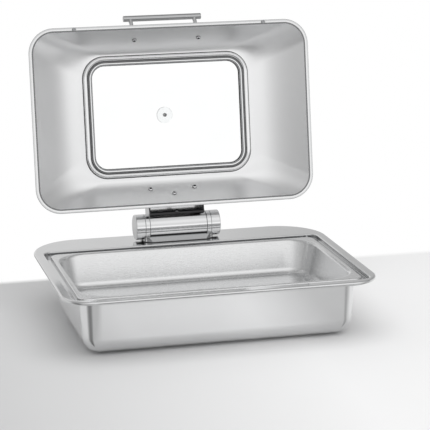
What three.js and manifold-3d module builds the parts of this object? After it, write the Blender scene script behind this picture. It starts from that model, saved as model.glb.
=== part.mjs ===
// Chafing dish: a gastronorm 1/1 food pan in a water pan with a wide rear rim, and a domed lid with
// a glass window on a damped barrel hinge. The lid stands open.
// Millimetres, +Z up. X runs along the length and the hinge is at the back, at +Y. The origin is on
// the surface that the dish stands on, under the middle of the food pan.
import * as THREE from "three";
import { mergeVertices } from "three/addons/utils/BufferGeometryUtils.js";
import Module from "manifold-3d";

const wasm = await Module();
wasm.setup();

// Fineness of the curves, as counts
const CORNER_STEPS = 6;
const BEND_STEPS = 3;
const SMALL_BEND_STEPS = 2;
const DOME_STEPS = 8;
const BEAD_STEPS = 4;
const BARREL_SIDES = 40;
const ROD_SIDES = 16;
const SCREW_SIDES = 12;

// Clearances
const FIT_GAP = 0.3;
const HEAD_GAP = 0.5;
const CUT_OVERRUN = 3;
const MERGE_GAP = 1e-4;
const SMALLEST_CORNER = 0.5;
const HALVINGS = 40;

// Food pan, gastronorm 1/1
const PAN_LENGTH = 530;
const PAN_WIDTH = 325;
const PAN_DEPTH = 65;
const PAN_STEEL = 0.8;
const PAN_FLANGE = 11;
const PAN_FLANGE_CORNER = 18;
const PAN_MOUTH_CORNER = 56;
const PAN_DRAFT = 14;
const PAN_LIP = 6;
const PAN_LIP_BEND = 2.2;
const PAN_MOUTH_BEND = 6;
const PAN_FLOOR_BEND = 15;

// Water pan
const PAN_TOP_HEIGHT = 115;
const RIM_STEP = 2;
const TUB_STEEL = 1;
const TUB_CLEARANCE = 2;
const TUB_DRAFT = 5;
const TUB_FLOOR_BEND = 32;
const TUB_LEDGE_BEND = 3;
const TUB_MOUTH_CORNER = 36;
const GROOVE_SIDE = 10.5;
const GROOVE_END = 12;
const GROOVE_CORNER = 17;
const GROOVE_FLOOR_BEND = 2;
const GROOVE_TOP_BEND = 1.6;
const RIM_SIDE = 18;
const RIM_FRONT = 19;
const RIM_BACK = 88;
const RIM_FRONT_CORNER = 60;
const RIM_BACK_CORNER = 96;
const RIM_EDGE_BEND = 2.6;
const RIM_SKIRT = 7;
const RIM_RETURN = 6;
const RIM_RETURN_BEND = 1.2;

// Induction plate under the tub
const PLATE_THICKNESS = 3;
const PLATE_INSET = 0.5;

// Lid shell
const LID_OVERLAP = 5.5;
const LID_CORNER = 50;
const LID_STEEL = 1;
const LID_BAND = 7;
const HEM_WIDTH = 5;
const HEM_THICKNESS = 2.2;
const DOME_HEIGHT = 57;
const LID_OPEN_DEGREES = 98.7;

// Lid window
const FRAME_LENGTH = 339;
const FRAME_WIDTH = 244;
const FRAME_CORNER = 45;
const FRAME_SEAT = 11.5;
const BEAD_WIDTH = 13.7;
const BEAD_EDGE = 0.9;
const BEAD_HEIGHT = 5.3;
const BEAD_FOOT = 3.4;
const LIP_WIDTH = 3;
const LIP_HEIGHT = 4.6;
const GLASS_THICKNESS = 4;
const GASKET_LEG = 1.2;
const GASKET_WIDTH = 7.2;
const VENT_OFFSET = -6;
const VENT_WASHER_RADIUS = 16;
const VENT_WASHER_THICKNESS = 1.2;
const EYELET_RADIUS = 3;
const EYELET_BORE_RADIUS = 1.9;
const EYELET_FLANGE_RADIUS = 4.4;
const EYELET_FLANGE = 0.8;

// Handle
const HANDLE_LENGTH = 158;
const HANDLE_RADIUS = 6;
const HANDLE_CHAMFER = 0.8;
const HANDLE_REACH = 51.5;
const HANDLE_FOOT_SHARE = 0.43;
const POST_INSET = 14;
const POST_RADIUS = 4;
const POST_FOOT_RADIUS = 6.5;
const POST_FOOT_HEIGHT = 2.4;
const POST_FOOT_FLARE = 2.5;
const SCREW_RADIUS = 2.5;
const SCREW_HOLE_RADIUS = 2.8;
const SCREW_HEAD_RADIUS = 4.75;
const SCREW_HEAD_HEIGHT = 2.8;
const SCREW_SOCKET_RADIUS = 1.8;
const SCREW_SOCKET_DEPTH = 1.6;
const HANDLE_SCREW_BITE = 7;

// Silicone bumpers under the front of the lid's band
const BUMPER_HEIGHT = 2.6;
const BUMPER_RADIUS = 3.8;
const BUMPER_ROUND = 1;
const BUMPER_INSET = 91;

// Hinge barrel, its ring ears and end caps, along X
const BARREL_RADIUS = 25;
const BARREL_WALL = 3;
const BARREL_LENGTH = 115;
const BARREL_RUNNING_GAP = 0.5;
const BARREL_CHAMFER = 0.6;
const BARREL_SETBACK = 13;
const BARREL_RIM_GAP = 0.5;
const EAR_WIDTH = 8.4;
const CAP_LENGTH = 18.6;
const CAP_WALL = 2.5;
const CAP_ROUND = 2;
const SHAFT_RADIUS = 5;
const SHAFT_BORE_RADIUS = 5.3;
const SHAFT_THREAD_LENGTH = 9;
const NUT_RADIUS = 9;
const NUT_THICKNESS = 5.5;
const HUB_THICKNESS = 9;
const BUSH_RADIUS = 7.5;
const BUSH_FLANGE_RADIUS = 12;
const BUSH_FLANGE = 1.4;
const DAMPER_RADIUS = 18;
const DAMPER_SHARE = 0.44;
const DAMPER_COLLAR_RADIUS = 9;
const DAMPER_COLLAR = 3;
const SPRING_RADIUS = 13;
const SPRING_WIRE_RADIUS = 1.7;
const SPRING_TURNS = 7;
const SPRING_SHARE = 0.38;
const SPRING_TURN_STEPS = 9;
const SPRING_HALF_SIDES = 3;

// Hinge base on the rear of the rim
const BASE_PAD = 1.5;
const BASE_END_MARGIN = 2.9;
const BASE_REACH = 28;
const BASE_TOE = 1.6;
const BASE_FOLD = 8.6;
const BASE_FOLD_REACH_SHARE = 0.87;
const BASE_SHOULDER = 10.2;
const BASE_CLEARANCE = 1;
const BASE_CORNER_LENGTH = 14;
const BASE_CORNER_WIDTH = 9;
const BASE_SHOULDER_REACH_SHARE = 0.78;
const BACKING_THICKNESS = 2;
const BACKING_MARGIN = 6;
const BASE_SCREW_SPREAD = 30;
const BASE_SCREW_RADIUS = 2.5;
const BASE_SCREW_HEAD_RADIUS = 4.6;
const BASE_SCREW_HEAD = 4;
const BASE_SCREW_BITE = 9;

// Bracket from the barrel to the lid's rear wall
const BRACKET_SETBACK = 1.5;
const BRACKET_WALL = 3.2;
const BRACKET_LOW_DEGREES = -27;
const BRACKET_FOOT_SHARE = 0.2;
const BRACKET_SCREW_INSET = 12.5;
const SIDE_SCREW_SHARE = 0.53;
const CENTRE_SCREW_SHARE = 0.34;
const BRACKET_SCREW_LENGTH = 8;
const BARREL_SCREW_DEGREES = -15;
const BARREL_SCREW_LENGTH = 8;

// Plan outlines: rounded rectangles with their own reach to the front and the back
function outline(halfX, front, back, frontCorner, backCorner = frontCorner) {
  return { halfX, front, back, frontCorner, backCorner };
}

function grow(plan, out) {
  return outline(
    plan.halfX + out,
    plan.front + out,
    plan.back + out,
    Math.max(plan.frontCorner + out, SMALLEST_CORNER),
    Math.max(plan.backCorner + out, SMALLEST_CORNER),
  );
}

function mix(planA, planB, share) {
  const between = (key) => THREE.MathUtils.lerp(planA[key], planB[key], share);
  return outline(
    between("halfX"),
    between("front"),
    between("back"),
    between("frontCorner"),
    between("backCorner"),
  );
}

const PAN_FLANGE_PLAN = outline(PAN_LENGTH / 2, PAN_WIDTH / 2, PAN_WIDTH / 2, PAN_FLANGE_CORNER);
const PAN_MOUTH_PLAN = { ...grow(PAN_FLANGE_PLAN, -PAN_FLANGE), frontCorner: PAN_MOUTH_CORNER };
PAN_MOUTH_PLAN.backCorner = PAN_MOUTH_CORNER;
const TUB_PLAN = grow(PAN_MOUTH_PLAN, PAN_STEEL + TUB_CLEARANCE + TUB_STEEL);
TUB_PLAN.frontCorner = TUB_MOUTH_CORNER;
TUB_PLAN.backCorner = TUB_MOUTH_CORNER;
const GROOVE_PLAN = outline(
  PAN_FLANGE_PLAN.halfX + GROOVE_SIDE,
  PAN_FLANGE_PLAN.front + GROOVE_END,
  PAN_FLANGE_PLAN.back + GROOVE_END,
  GROOVE_CORNER,
);
const RIM_PLAN = outline(
  GROOVE_PLAN.halfX + RIM_SIDE,
  GROOVE_PLAN.front + RIM_FRONT,
  GROOVE_PLAN.back + RIM_BACK,
  RIM_FRONT_CORNER,
  RIM_BACK_CORNER,
);
const LID_PLAN = grow(GROOVE_PLAN, LID_OVERLAP);
LID_PLAN.frontCorner = LID_CORNER;
LID_PLAN.backCorner = LID_CORNER;
const DOME_PLAN = grow(LID_PLAN, -LID_BAND);
const FRAME_PLAN = outline(FRAME_LENGTH / 2, FRAME_WIDTH / 2, FRAME_WIDTH / 2, FRAME_CORNER);

// Heights and the hinge axis
const RIM_HEIGHT = PAN_TOP_HEIGHT + RIM_STEP;
const LEDGE_HEIGHT = PAN_TOP_HEIGHT - PAN_LIP - FIT_GAP;
const PAN_FLOOR_HEIGHT = PAN_TOP_HEIGHT - PAN_DEPTH;
const LID_SEAT_HEIGHT = RIM_HEIGHT + FIT_GAP + BUMPER_HEIGHT;
const WINDOW_HEIGHT = LID_SEAT_HEIGHT + DOME_HEIGHT;
const GLASS_MIDDLE_HEIGHT = WINDOW_HEIGHT + LID_STEEL / 2;
const HINGE_HEIGHT = RIM_HEIGHT + BASE_PAD + BARREL_RIM_GAP + BARREL_RADIUS;
const HINGE_Y = LID_PLAN.back + BARREL_SETBACK + BARREL_RADIUS;
const EAR_START = BARREL_LENGTH / 2 + BARREL_RUNNING_GAP;
const EAR_END = EAR_START + EAR_WIDTH;
const BASE_LENGTH = 2 * (EAR_END + BASE_END_MARGIN);
const CAP_START = EAR_END + FIT_GAP;
const BRACKET_LENGTH = BARREL_LENGTH - 2 * BRACKET_SETBACK;

// Materials
function finish(color, roughness, metalness, extra = {}) {
  return new THREE.MeshStandardMaterial({ color, roughness, metalness, ...extra });
}

const satinSteel = finish(0xc9cbcc, 0.38, 1);
const polishedSteel = finish(0xd8dadb, 0.14, 1);
const chrome = finish(0xe2e4e6, 0.06, 1);
const screwSteel = finish(0xb9bcbe, 0.3, 1);
const springSteel = finish(0x8d9094, 0.42, 1);
const ferriticSteel = finish(0xa9abad, 0.5, 1);
const bronze = finish(0xa9793f, 0.45, 1);
const blackRubber = finish(0x17181a, 0.8, 0);
const greySilicone = finish(0x8f9396, 0.7, 0);
const clearSilicone = finish(0xe9edee, 0.35, 0, { transparent: true, opacity: 0.5 });
const glass = finish(0xf1f6f6, 0.04, 0, { transparent: true, opacity: 0.25 });
const blackPlastic = finish(0x202124, 0.6, 0);

// Closed solids
function solid(geometry) {
  const bare = geometry.clone();
  for (const name of Object.keys(bare.attributes)) {
    if (name !== "position") bare.deleteAttribute(name);
  }
  const merged = mergeVertices(bare, MERGE_GAP);
  const index = merged.index.array;
  const position = merged.attributes.position;
  const corners = [new THREE.Vector3(), new THREE.Vector3(), new THREE.Vector3()];
  const faces = [];
  let sixVolumes = 0;
  for (let i = 0; i < index.length; i += 3) {
    const [a, b, c] = index.slice(i, i + 3);
    if (a === b || b === c || c === a) continue;
    faces.push([a, b, c]);
    corners.forEach((corner, k) => corner.fromBufferAttribute(position, index[i + k]));
    sixVolumes += corners[0].dot(corners[1].cross(corners[2]));
  }
  const outward = sixVolumes < 0 ? faces.map(([a, b, c]) => [a, c, b]) : faces;
  const triVerts = new Uint32Array(outward.flat());
  const vertProperties = new Float32Array(position.array);
  return new wasm.Manifold(new wasm.Mesh({ numProp: 3, vertProperties, triVerts }));
}

function geometryOf(body) {
  const mesh = body.getMesh();
  const geometry = new THREE.BufferGeometry();
  geometry.setAttribute("position", new THREE.BufferAttribute(new Float32Array(mesh.vertProperties), 3));
  geometry.setIndex(new THREE.BufferAttribute(new Uint32Array(mesh.triVerts), 1));
  geometry.computeVertexNormals();
  return geometry;
}

function join(first, ...others) {
  return others.reduce((whole, other) => whole.add(other), first);
}

function cut(first, ...tools) {
  return tools.reduce((whole, tool) => whole.subtract(tool), first);
}

// The points of a plan outline, each corner a quarter circle
function ringPoints(plan, height) {
  const quarter = Math.PI / 2;
  const corners = [
    { side: 1, y: plan.back, radius: plan.backCorner },
    { side: -1, y: plan.back, radius: plan.backCorner },
    { side: -1, y: -plan.front, radius: plan.frontCorner },
    { side: 1, y: -plan.front, radius: plan.frontCorner },
  ];
  return corners.flatMap(({ side, y, radius }, turn) => {
    const centreX = side * (plan.halfX - radius);
    const centreY = y - Math.sign(y) * radius;
    return Array.from({ length: CORNER_STEPS + 1 }, (_, step) => {
      const angle = quarter * (turn + step / CORNER_STEPS);
      const x = centreX + radius * Math.cos(angle);
      return new THREE.Vector3(x, centreY + radius * Math.sin(angle), height);
    });
  });
}

// A solid through a list of rings. A capped one has flat ends, and the others close on themselves.
function loft(rings, capped) {
  const count = rings[0].length;
  const bands = capped ? rings.length - 1 : rings.length;
  const faces = [];
  for (let band = 0; band < bands; band++) {
    const low = band * count;
    const high = ((band + 1) % rings.length) * count;
    for (let i = 0; i < count; i++) {
      const next = (i + 1) % count;
      faces.push(low + i, low + next, high + next, low + i, high + next, high + i);
    }
  }
  if (capped) {
    const top = bands * count;
    for (let i = 1; i < count - 1; i++) {
      faces.push(0, i + 1, i, top, top + i, top + i + 1);
    }
  }
  const geometry = new THREE.BufferGeometry();
  geometry.setFromPoints(rings.flat());
  geometry.setIndex(faces);
  return solid(geometry);
}

// A ring for each profile point, which lies a distance out from its own plan outline
function ringsOf(profile) {
  return profile.map((point) => ringPoints(grow(point.on, point.out), point.z));
}

function flatten(profile) {
  return profile.map((point) => new THREE.Vector2(point.on.halfX + point.out, point.z));
}

// Turns each vertex that has a bend radius into an arc of that radius
function bend(vertices) {
  const flat = flatten(vertices);
  return vertices.flatMap((vertex, i) => {
    if (!vertex.bend) return [vertex];
    const here = flat[i];
    const back = flat[i - 1].clone().sub(here);
    const ahead = flat[i + 1].clone().sub(here);
    const room = Math.min(back.length(), ahead.length()) / 2;
    back.normalize();
    ahead.normalize();
    const half = Math.acos(THREE.MathUtils.clamp(back.dot(ahead), -1, 1)) / 2;
    const radius = Math.min(vertex.bend, room * Math.tan(half));
    const bisector = back.clone().add(ahead).normalize();
    const centre = here.clone().addScaledVector(bisector, radius / Math.sin(half));
    const start = here.clone().addScaledVector(back, radius / Math.tan(half)).sub(centre);
    const end = here.clone().addScaledVector(ahead, radius / Math.tan(half)).sub(centre);
    const sweep = Math.atan2(start.cross(end), start.dot(end));
    const steps = vertex.steps ?? BEND_STEPS;
    return Array.from({ length: steps + 1 }, (_, step) => {
      const spoke = start.clone().rotateAround(new THREE.Vector2(), (sweep * step) / steps);
      return { on: vertex.on, out: centre.x + spoke.x - vertex.on.halfX, z: centre.y + spoke.y };
    });
  });
}

// Sheet steel: the profile is its lower or outer face, and the other face is one thickness to the left
function sheet(vertices, steel, capped) {
  const profile = bend(vertices);
  const flat = flatten(profile);
  const leftOf = (a, b) => new THREE.Vector2(a.y - b.y, b.x - a.x).normalize();
  const other = profile.map((point, i) => {
    const before = leftOf(flat[Math.max(i - 1, 0)], flat[Math.max(i, 1)]);
    const after = leftOf(flat[Math.min(i, flat.length - 2)], flat[Math.min(i + 1, flat.length - 1)]);
    const shift = before.clone().add(after).multiplyScalar(steel / (1 + before.dot(after)));
    return { on: point.on, out: point.out + shift.x, z: point.z + shift.y };
  });
  return loft(ringsOf([...profile, ...other.reverse()]), capped);
}

// A flat plate with a plan outline
function plate(plan, low, high) {
  return loft([ringPoints(plan, low), ringPoints(plan, high)], true);
}

// A body of revolution about Z, from points of radius and height
function turned(points, sides) {
  const outlinePoints = points.map(([radius, height]) => new THREE.Vector2(radius, height));
  const geometry = new THREE.LatheGeometry(outlinePoints, sides);
  return geometry.rotateX(Math.PI / 2);
}

function tubePoints(outer, inner, low, high) {
  return [[inner, low], [outer, low], [outer, high], [inner, high], [inner, low]];
}

function rodPoints(radius, low, high) {
  return [[0, low], [radius, low], [radius, high], [0, high]];
}

// The same, laid along X
function turnedAlongX(points, sides) {
  return turned(points, sides).rotateY(Math.PI / 2);
}

// An outline in the Y and Z plane, extruded along X from the middle
function extrudeAlongX(points, length) {
  const shape = new THREE.Shape(points.map(([y, z]) => new THREE.Vector2(y, z)));
  const geometry = new THREE.ExtrudeGeometry(shape, { depth: length, bevelEnabled: false });
  const turn = new THREE.Matrix4().makeBasis(
    new THREE.Vector3(0, 1, 0),
    new THREE.Vector3(0, 0, 1),
    new THREE.Vector3(1, 0, 0),
  );
  return geometry.applyMatrix4(turn).translate(-length / 2, 0, 0);
}

// Turns a body made about Z to stand along a direction in the Y and Z plane, and moves it to a place
function aim(geometry, place, direction) {
  const turn = new THREE.Quaternion().setFromUnitVectors(new THREE.Vector3(0, 0, 1), direction);
  return geometry.applyQuaternion(turn).translate(place.x, place.y, place.z);
}

function arcPoints(radius, fromDegrees, toDegrees, steps) {
  return Array.from({ length: steps + 1 }, (_, step) => {
    const degrees = THREE.MathUtils.lerp(fromDegrees, toDegrees, step / steps);
    const angle = THREE.MathUtils.degToRad(degrees);
    return [radius * Math.cos(angle), radius * Math.sin(angle)];
  });
}

// Button-head screw about Z: the head's underside is at zero, the head above and the shank below
function buttonScrew(length) {
  const dome = arcPoints(1, 0, 90, BEND_STEPS).map(([across, up]) => [
    SCREW_HEAD_RADIUS * across,
    SCREW_HEAD_HEIGHT * up,
  ]);
  const points = [[0, -length], [SCREW_RADIUS, -length], [SCREW_RADIUS, 0], ...dome];
  const socket = new THREE.CylinderGeometry(
    SCREW_SOCKET_RADIUS,
    SCREW_SOCKET_RADIUS,
    SCREW_SOCKET_DEPTH + CUT_OVERRUN,
    6,
  );
  socket.rotateX(Math.PI / 2);
  socket.translate(0, 0, SCREW_HEAD_HEIGHT - SCREW_SOCKET_DEPTH + (SCREW_SOCKET_DEPTH + CUT_OVERRUN) / 2);
  return geometryOf(cut(solid(turned(points, SCREW_SIDES)), solid(socket)));
}

// The dome of the closed lid, from the band (share 0) to the window frame (share 1)
const SIDE_RUN = DOME_PLAN.halfX - FRAME_PLAN.halfX;
const END_RUN = DOME_PLAN.back - FRAME_PLAN.back;
const MEAN_RUN = Math.sqrt(SIDE_RUN * END_RUN);

function domeHeight(share) {
  return LID_SEAT_HEIGHT + DOME_HEIGHT * Math.sin((share * Math.PI) / 2);
}

function domeSlope(share, run) {
  return Math.atan((DOME_HEIGHT * (Math.PI / 2) * Math.cos((share * Math.PI) / 2)) / run);
}

// A profile point on the dome, raised off the inner face at right angles to the mean slope
function domePoint(share, raise) {
  const slope = domeSlope(share, MEAN_RUN);
  return {
    on: mix(DOME_PLAN, FRAME_PLAN, share),
    out: raise * Math.sin(slope),
    z: domeHeight(share) + raise * Math.cos(slope),
  };
}

// The middle of the closed lid's front or rear wall in the Y and Z plane, and the way it faces
function wallPoint(share, raise, side) {
  const point = domePoint(share, raise);
  const reach = side > 0 ? point.on.back : point.on.front;
  return new THREE.Vector3(0, side * (reach + point.out), point.z);
}

function wallNormal(share, side) {
  const slope = domeSlope(share, END_RUN);
  return new THREE.Vector3(0, side * Math.sin(slope), Math.cos(slope));
}

// A place square to the wall's inner face, at a distance outside it
function besideWall(x, share, distance, side) {
  return wallPoint(share, 0, side).setX(x).addScaledVector(wallNormal(share, side), distance);
}

// Assembly: the lid is modelled closed, in a group that turns about the hinge axis
const dish = new THREE.Group();
const lidPivot = new THREE.Group();
const lid = new THREE.Group();
lidPivot.position.set(0, HINGE_Y, HINGE_HEIGHT);
lidPivot.rotation.x = THREE.MathUtils.degToRad(-LID_OPEN_DEGREES);
lid.position.set(0, -HINGE_Y, -HINGE_HEIGHT);
lidPivot.add(lid);
dish.add(lidPivot);

function add(group, name, body, material) {
  const geometry = body.isBufferGeometry ? body : geometryOf(body);
  const mesh = new THREE.Mesh(geometry, material);
  mesh.name = name;
  group.add(mesh);
  return mesh;
}

// Screws through the rim into the ears' feet
const baseScrewPlaces = [-1, 1].flatMap((sideX) =>
  [-1, 1].map((sideY) => ({
    x: (sideX * (EAR_START + EAR_END)) / 2,
    y: HINGE_Y + (sideY * BASE_SCREW_SPREAD) / 2,
  })),
);

function baseScrewHoles(low, high) {
  return baseScrewPlaces.map(({ x, y }) =>
    solid(turned(rodPoints(BASE_SCREW_RADIUS + FIT_GAP, low, high), SCREW_SIDES).translate(x, y, 0)),
  );
}

// Standing parts
function addWaterPan() {
  const steps = SMALL_BEND_STEPS;
  const skirtFoot = RIM_HEIGHT - RIM_SKIRT + TUB_STEEL;
  const vertices = [
    { on: TUB_PLAN, out: -TUB_DRAFT - 2 * TUB_FLOOR_BEND, z: PLATE_THICKNESS },
    { on: TUB_PLAN, out: -TUB_DRAFT, z: PLATE_THICKNESS, bend: TUB_FLOOR_BEND },
    { on: TUB_PLAN, out: 0, z: LEDGE_HEIGHT - TUB_STEEL, bend: TUB_LEDGE_BEND, steps },
    { on: GROOVE_PLAN, out: TUB_STEEL, z: LEDGE_HEIGHT - TUB_STEEL, bend: GROOVE_FLOOR_BEND, steps },
    { on: GROOVE_PLAN, out: TUB_STEEL, z: RIM_HEIGHT - TUB_STEEL, bend: GROOVE_TOP_BEND, steps },
    { on: RIM_PLAN, out: -TUB_STEEL, z: RIM_HEIGHT - TUB_STEEL, bend: RIM_EDGE_BEND },
    { on: RIM_PLAN, out: -TUB_STEEL, z: skirtFoot, bend: RIM_RETURN_BEND, steps },
    { on: RIM_PLAN, out: -RIM_RETURN, z: skirtFoot },
  ];
  const pan = sheet(vertices, TUB_STEEL, true);
  const holes = baseScrewHoles(RIM_HEIGHT - TUB_STEEL - CUT_OVERRUN, RIM_HEIGHT + CUT_OVERRUN);
  add(dish, "water_pan", cut(pan, ...holes), polishedSteel);
  const floorPlan = grow(TUB_PLAN, -TUB_DRAFT - TUB_FLOOR_BEND - PLATE_INSET);
  add(dish, "induction_plate", plate(floorPlan, 0, PLATE_THICKNESS), ferriticSteel);
}

function addFoodPan() {
  const vertices = [
    { on: PAN_MOUTH_PLAN, out: -PAN_DRAFT - 2 * PAN_FLOOR_BEND, z: PAN_FLOOR_HEIGHT },
    { on: PAN_MOUTH_PLAN, out: -PAN_DRAFT, z: PAN_FLOOR_HEIGHT, bend: PAN_FLOOR_BEND },
    { on: PAN_MOUTH_PLAN, out: PAN_STEEL, z: PAN_TOP_HEIGHT - PAN_STEEL, bend: PAN_MOUTH_BEND },
    { on: PAN_FLANGE_PLAN, out: -PAN_STEEL, z: PAN_TOP_HEIGHT - PAN_STEEL, bend: PAN_LIP_BEND },
    { on: PAN_FLANGE_PLAN, out: -PAN_STEEL, z: PAN_TOP_HEIGHT - PAN_LIP },
  ];
  add(dish, "food_pan", sheet(vertices, PAN_STEEL, true), satinSteel);
}

// Hinge, along X about the hinge axis
function alongHinge(geometry) {
  return geometry.translate(0, HINGE_Y, HINGE_HEIGHT);
}

function mirrored(low, high, side) {
  return side > 0 ? [low, high] : [-high, -low];
}

function addHingeBase() {
  const floor = RIM_HEIGHT + BASE_PAD;
  const foldReach = BASE_REACH * BASE_FOLD_REACH_SHARE;
  const shoulderReach = BASE_REACH * BASE_SHOULDER_REACH_SHARE;
  const profile = [
    [HINGE_Y - BASE_REACH, floor],
    [HINGE_Y + BASE_REACH, floor],
    [HINGE_Y + BASE_REACH, floor + BASE_TOE],
    [HINGE_Y + foldReach, floor + BASE_FOLD],
    [HINGE_Y + shoulderReach, floor + BASE_SHOULDER],
    [HINGE_Y - shoulderReach, floor + BASE_SHOULDER],
    [HINGE_Y - foldReach, floor + BASE_FOLD],
    [HINGE_Y - BASE_REACH, floor + BASE_TOE],
  ];
  const halfX = BASE_LENGTH / 2;
  const plan = [
    [-halfX, -BASE_REACH + BASE_CORNER_WIDTH],
    [-halfX + BASE_CORNER_LENGTH, -BASE_REACH],
    [halfX - BASE_CORNER_LENGTH, -BASE_REACH],
    [halfX, -BASE_REACH + BASE_CORNER_WIDTH],
    [halfX, BASE_REACH - BASE_CORNER_WIDTH],
    [halfX - BASE_CORNER_LENGTH, BASE_REACH],
    [-halfX + BASE_CORNER_LENGTH, BASE_REACH],
    [-halfX, BASE_REACH - BASE_CORNER_WIDTH],
  ];
  const column = (low, high) => {
    const shape = new THREE.Shape(plan.map(([x, y]) => new THREE.Vector2(x, y)));
    const geometry = new THREE.ExtrudeGeometry(shape, { depth: high - low, bevelEnabled: false });
    return solid(geometry.translate(0, HINGE_Y, low));
  };
  const foot = solid(extrudeAlongX(profile, BASE_LENGTH + CUT_OVERRUN)).intersect(
    column(floor, floor + BASE_SHOULDER + CUT_OVERRUN),
  );
  const barrelRoom = rodPoints(BARREL_RADIUS + BASE_CLEARANCE, -EAR_START, EAR_START);
  const shaftRoom = rodPoints(SHAFT_BORE_RADIUS, -halfX - CUT_OVERRUN, halfX + CUT_OVERRUN);
  const capRooms = [-1, 1].map((side) =>
    solid(
      alongHinge(
        turnedAlongX(
          rodPoints(BARREL_RADIUS + FIT_GAP, ...mirrored(EAR_END, halfX + CUT_OVERRUN, side)),
          BARREL_SIDES,
        ),
      ),
    ),
  );
  const ears = [-1, 1].flatMap((side) => {
    const [low, high] = mirrored(EAR_START, EAR_END, side);
    const ring = solid(alongHinge(turnedAlongX(rodPoints(BARREL_RADIUS, low, high), BARREL_SIDES)));
    const web = extrudeAlongX(
      [
        [HINGE_Y - shoulderReach, floor],
        [HINGE_Y + shoulderReach, floor],
        [HINGE_Y + shoulderReach, HINGE_HEIGHT - BARREL_RADIUS / 2],
        [HINGE_Y - shoulderReach, HINGE_HEIGHT - BARREL_RADIUS / 2],
      ],
      high - low,
    );
    return [ring, solid(web.translate((low + high) / 2, 0, 0))];
  });
  const roomed = cut(foot, solid(alongHinge(turnedAlongX(barrelRoom, BARREL_SIDES))));
  const base = cut(
    join(roomed, ...ears),
    ...capRooms,
    solid(alongHinge(turnedAlongX(shaftRoom, ROD_SIDES))),
    ...baseScrewHoles(floor - CUT_OVERRUN, floor + BASE_SCREW_BITE + FIT_GAP),
  );
  add(dish, "hinge_base", base, chrome);
  const pad = cut(column(RIM_HEIGHT, floor), ...baseScrewHoles(RIM_HEIGHT - CUT_OVERRUN, floor + CUT_OVERRUN));
  add(dish, "hinge_base_pad", pad, blackRubber);
}

function addBaseFastening() {
  const top = RIM_HEIGHT - TUB_STEEL;
  const bottom = top - BACKING_THICKNESS;
  const halfX = BASE_LENGTH / 2;
  const backing = new THREE.BoxGeometry(
    2 * halfX,
    2 * (BASE_REACH - BACKING_MARGIN),
    BACKING_THICKNESS,
  ).translate(0, HINGE_Y, (top + bottom) / 2);
  const holes = baseScrewHoles(bottom - CUT_OVERRUN, top + CUT_OVERRUN);
  add(dish, "rim_backing_plate", cut(solid(backing), ...holes), screwSteel);
  const tip = RIM_HEIGHT + BASE_PAD + BASE_SCREW_BITE;
  baseScrewPlaces.forEach(({ x, y }, i) => {
    const shank = turned(rodPoints(BASE_SCREW_RADIUS, bottom - BASE_SCREW_HEAD, tip), SCREW_SIDES);
    const head = turned(rodPoints(BASE_SCREW_HEAD_RADIUS, bottom - BASE_SCREW_HEAD, bottom), 6);
    const screw = join(solid(shank), solid(head));
    add(dish, `base_screw_${i + 1}`, geometryOf(screw).translate(x, y, 0), screwSteel);
  });
}

function addShaft() {
  const nutEnd = CAP_START + NUT_THICKNESS;
  const end = Math.min(EAR_END + SHAFT_THREAD_LENGTH, CAP_START + CAP_LENGTH - CAP_WALL - FIT_GAP);
  add(dish, "hinge_shaft", alongHinge(turnedAlongX(rodPoints(SHAFT_RADIUS, -end, end), ROD_SIDES)), springSteel);
  for (const [name, side] of [["left", -1], ["right", 1]]) {
    const [low, high] = mirrored(CAP_START, nutEnd, side);
    const hexagon = solid(turnedAlongX(rodPoints(NUT_RADIUS, low, high), 6));
    const bore = rodPoints(SHAFT_RADIUS + FIT_GAP, low - CUT_OVERRUN, high + CUT_OVERRUN);
    const nut = geometryOf(cut(hexagon, solid(turnedAlongX(bore, ROD_SIDES))));
    add(dish, `shaft_nut_${name}`, alongHinge(nut), screwSteel);
    addEndCap(name, side);
  }
}

function addEndCap(name, side) {
  const start = CAP_START;
  const end = start + CAP_LENGTH;
  const innerRadius = BARREL_RADIUS - CAP_WALL;
  const round = arcPoints(CAP_ROUND, 0, 90, BEND_STEPS).map(([across, along]) => [
    BARREL_RADIUS - CAP_ROUND + across,
    end - CAP_ROUND + along,
  ]);
  const points = [
    [0, end - CAP_WALL],
    [innerRadius, end - CAP_WALL],
    [innerRadius, start],
    [BARREL_RADIUS - BARREL_CHAMFER, start],
    [BARREL_RADIUS, start + BARREL_CHAMFER],
    ...round,
    [0, end],
  ];
  const geometry = turnedAlongX(points, BARREL_SIDES);
  if (side < 0) geometry.rotateZ(Math.PI);
  add(dish, `hinge_end_cap_${name}`, alongHinge(geometryOf(solid(geometry))), chrome);
}

function addDamperAndSpring() {
  const inside = BARREL_LENGTH / 2 - HUB_THICKNESS - FIT_GAP;
  const damperEnd = -inside + 2 * inside * DAMPER_SHARE;
  const damper = turnedAlongX(
    [
      [SHAFT_BORE_RADIUS, -inside],
      [DAMPER_RADIUS, -inside],
      [DAMPER_RADIUS, damperEnd - DAMPER_COLLAR],
      [DAMPER_COLLAR_RADIUS, damperEnd - DAMPER_COLLAR],
      [DAMPER_COLLAR_RADIUS, damperEnd],
      [SHAFT_BORE_RADIUS, damperEnd],
      [SHAFT_BORE_RADIUS, -inside],
    ],
    ROD_SIDES,
  );
  add(dish, "hinge_damper", alongHinge(geometryOf(solid(damper))), blackPlastic);
  const springEnd = inside - SPRING_WIRE_RADIUS - FIT_GAP;
  const coil = new Coil(springEnd - 2 * inside * SPRING_SHARE, springEnd);
  const section = new THREE.Shape();
  section.absarc(0, 0, SPRING_WIRE_RADIUS, 0, 2 * Math.PI);
  const spring = new THREE.ExtrudeGeometry(section, {
    curveSegments: SPRING_HALF_SIDES,
    steps: SPRING_TURNS * SPRING_TURN_STEPS,
    extrudePath: coil,
  });
  add(dish, "hinge_spring", alongHinge(geometryOf(solid(spring))), springSteel);
}

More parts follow.
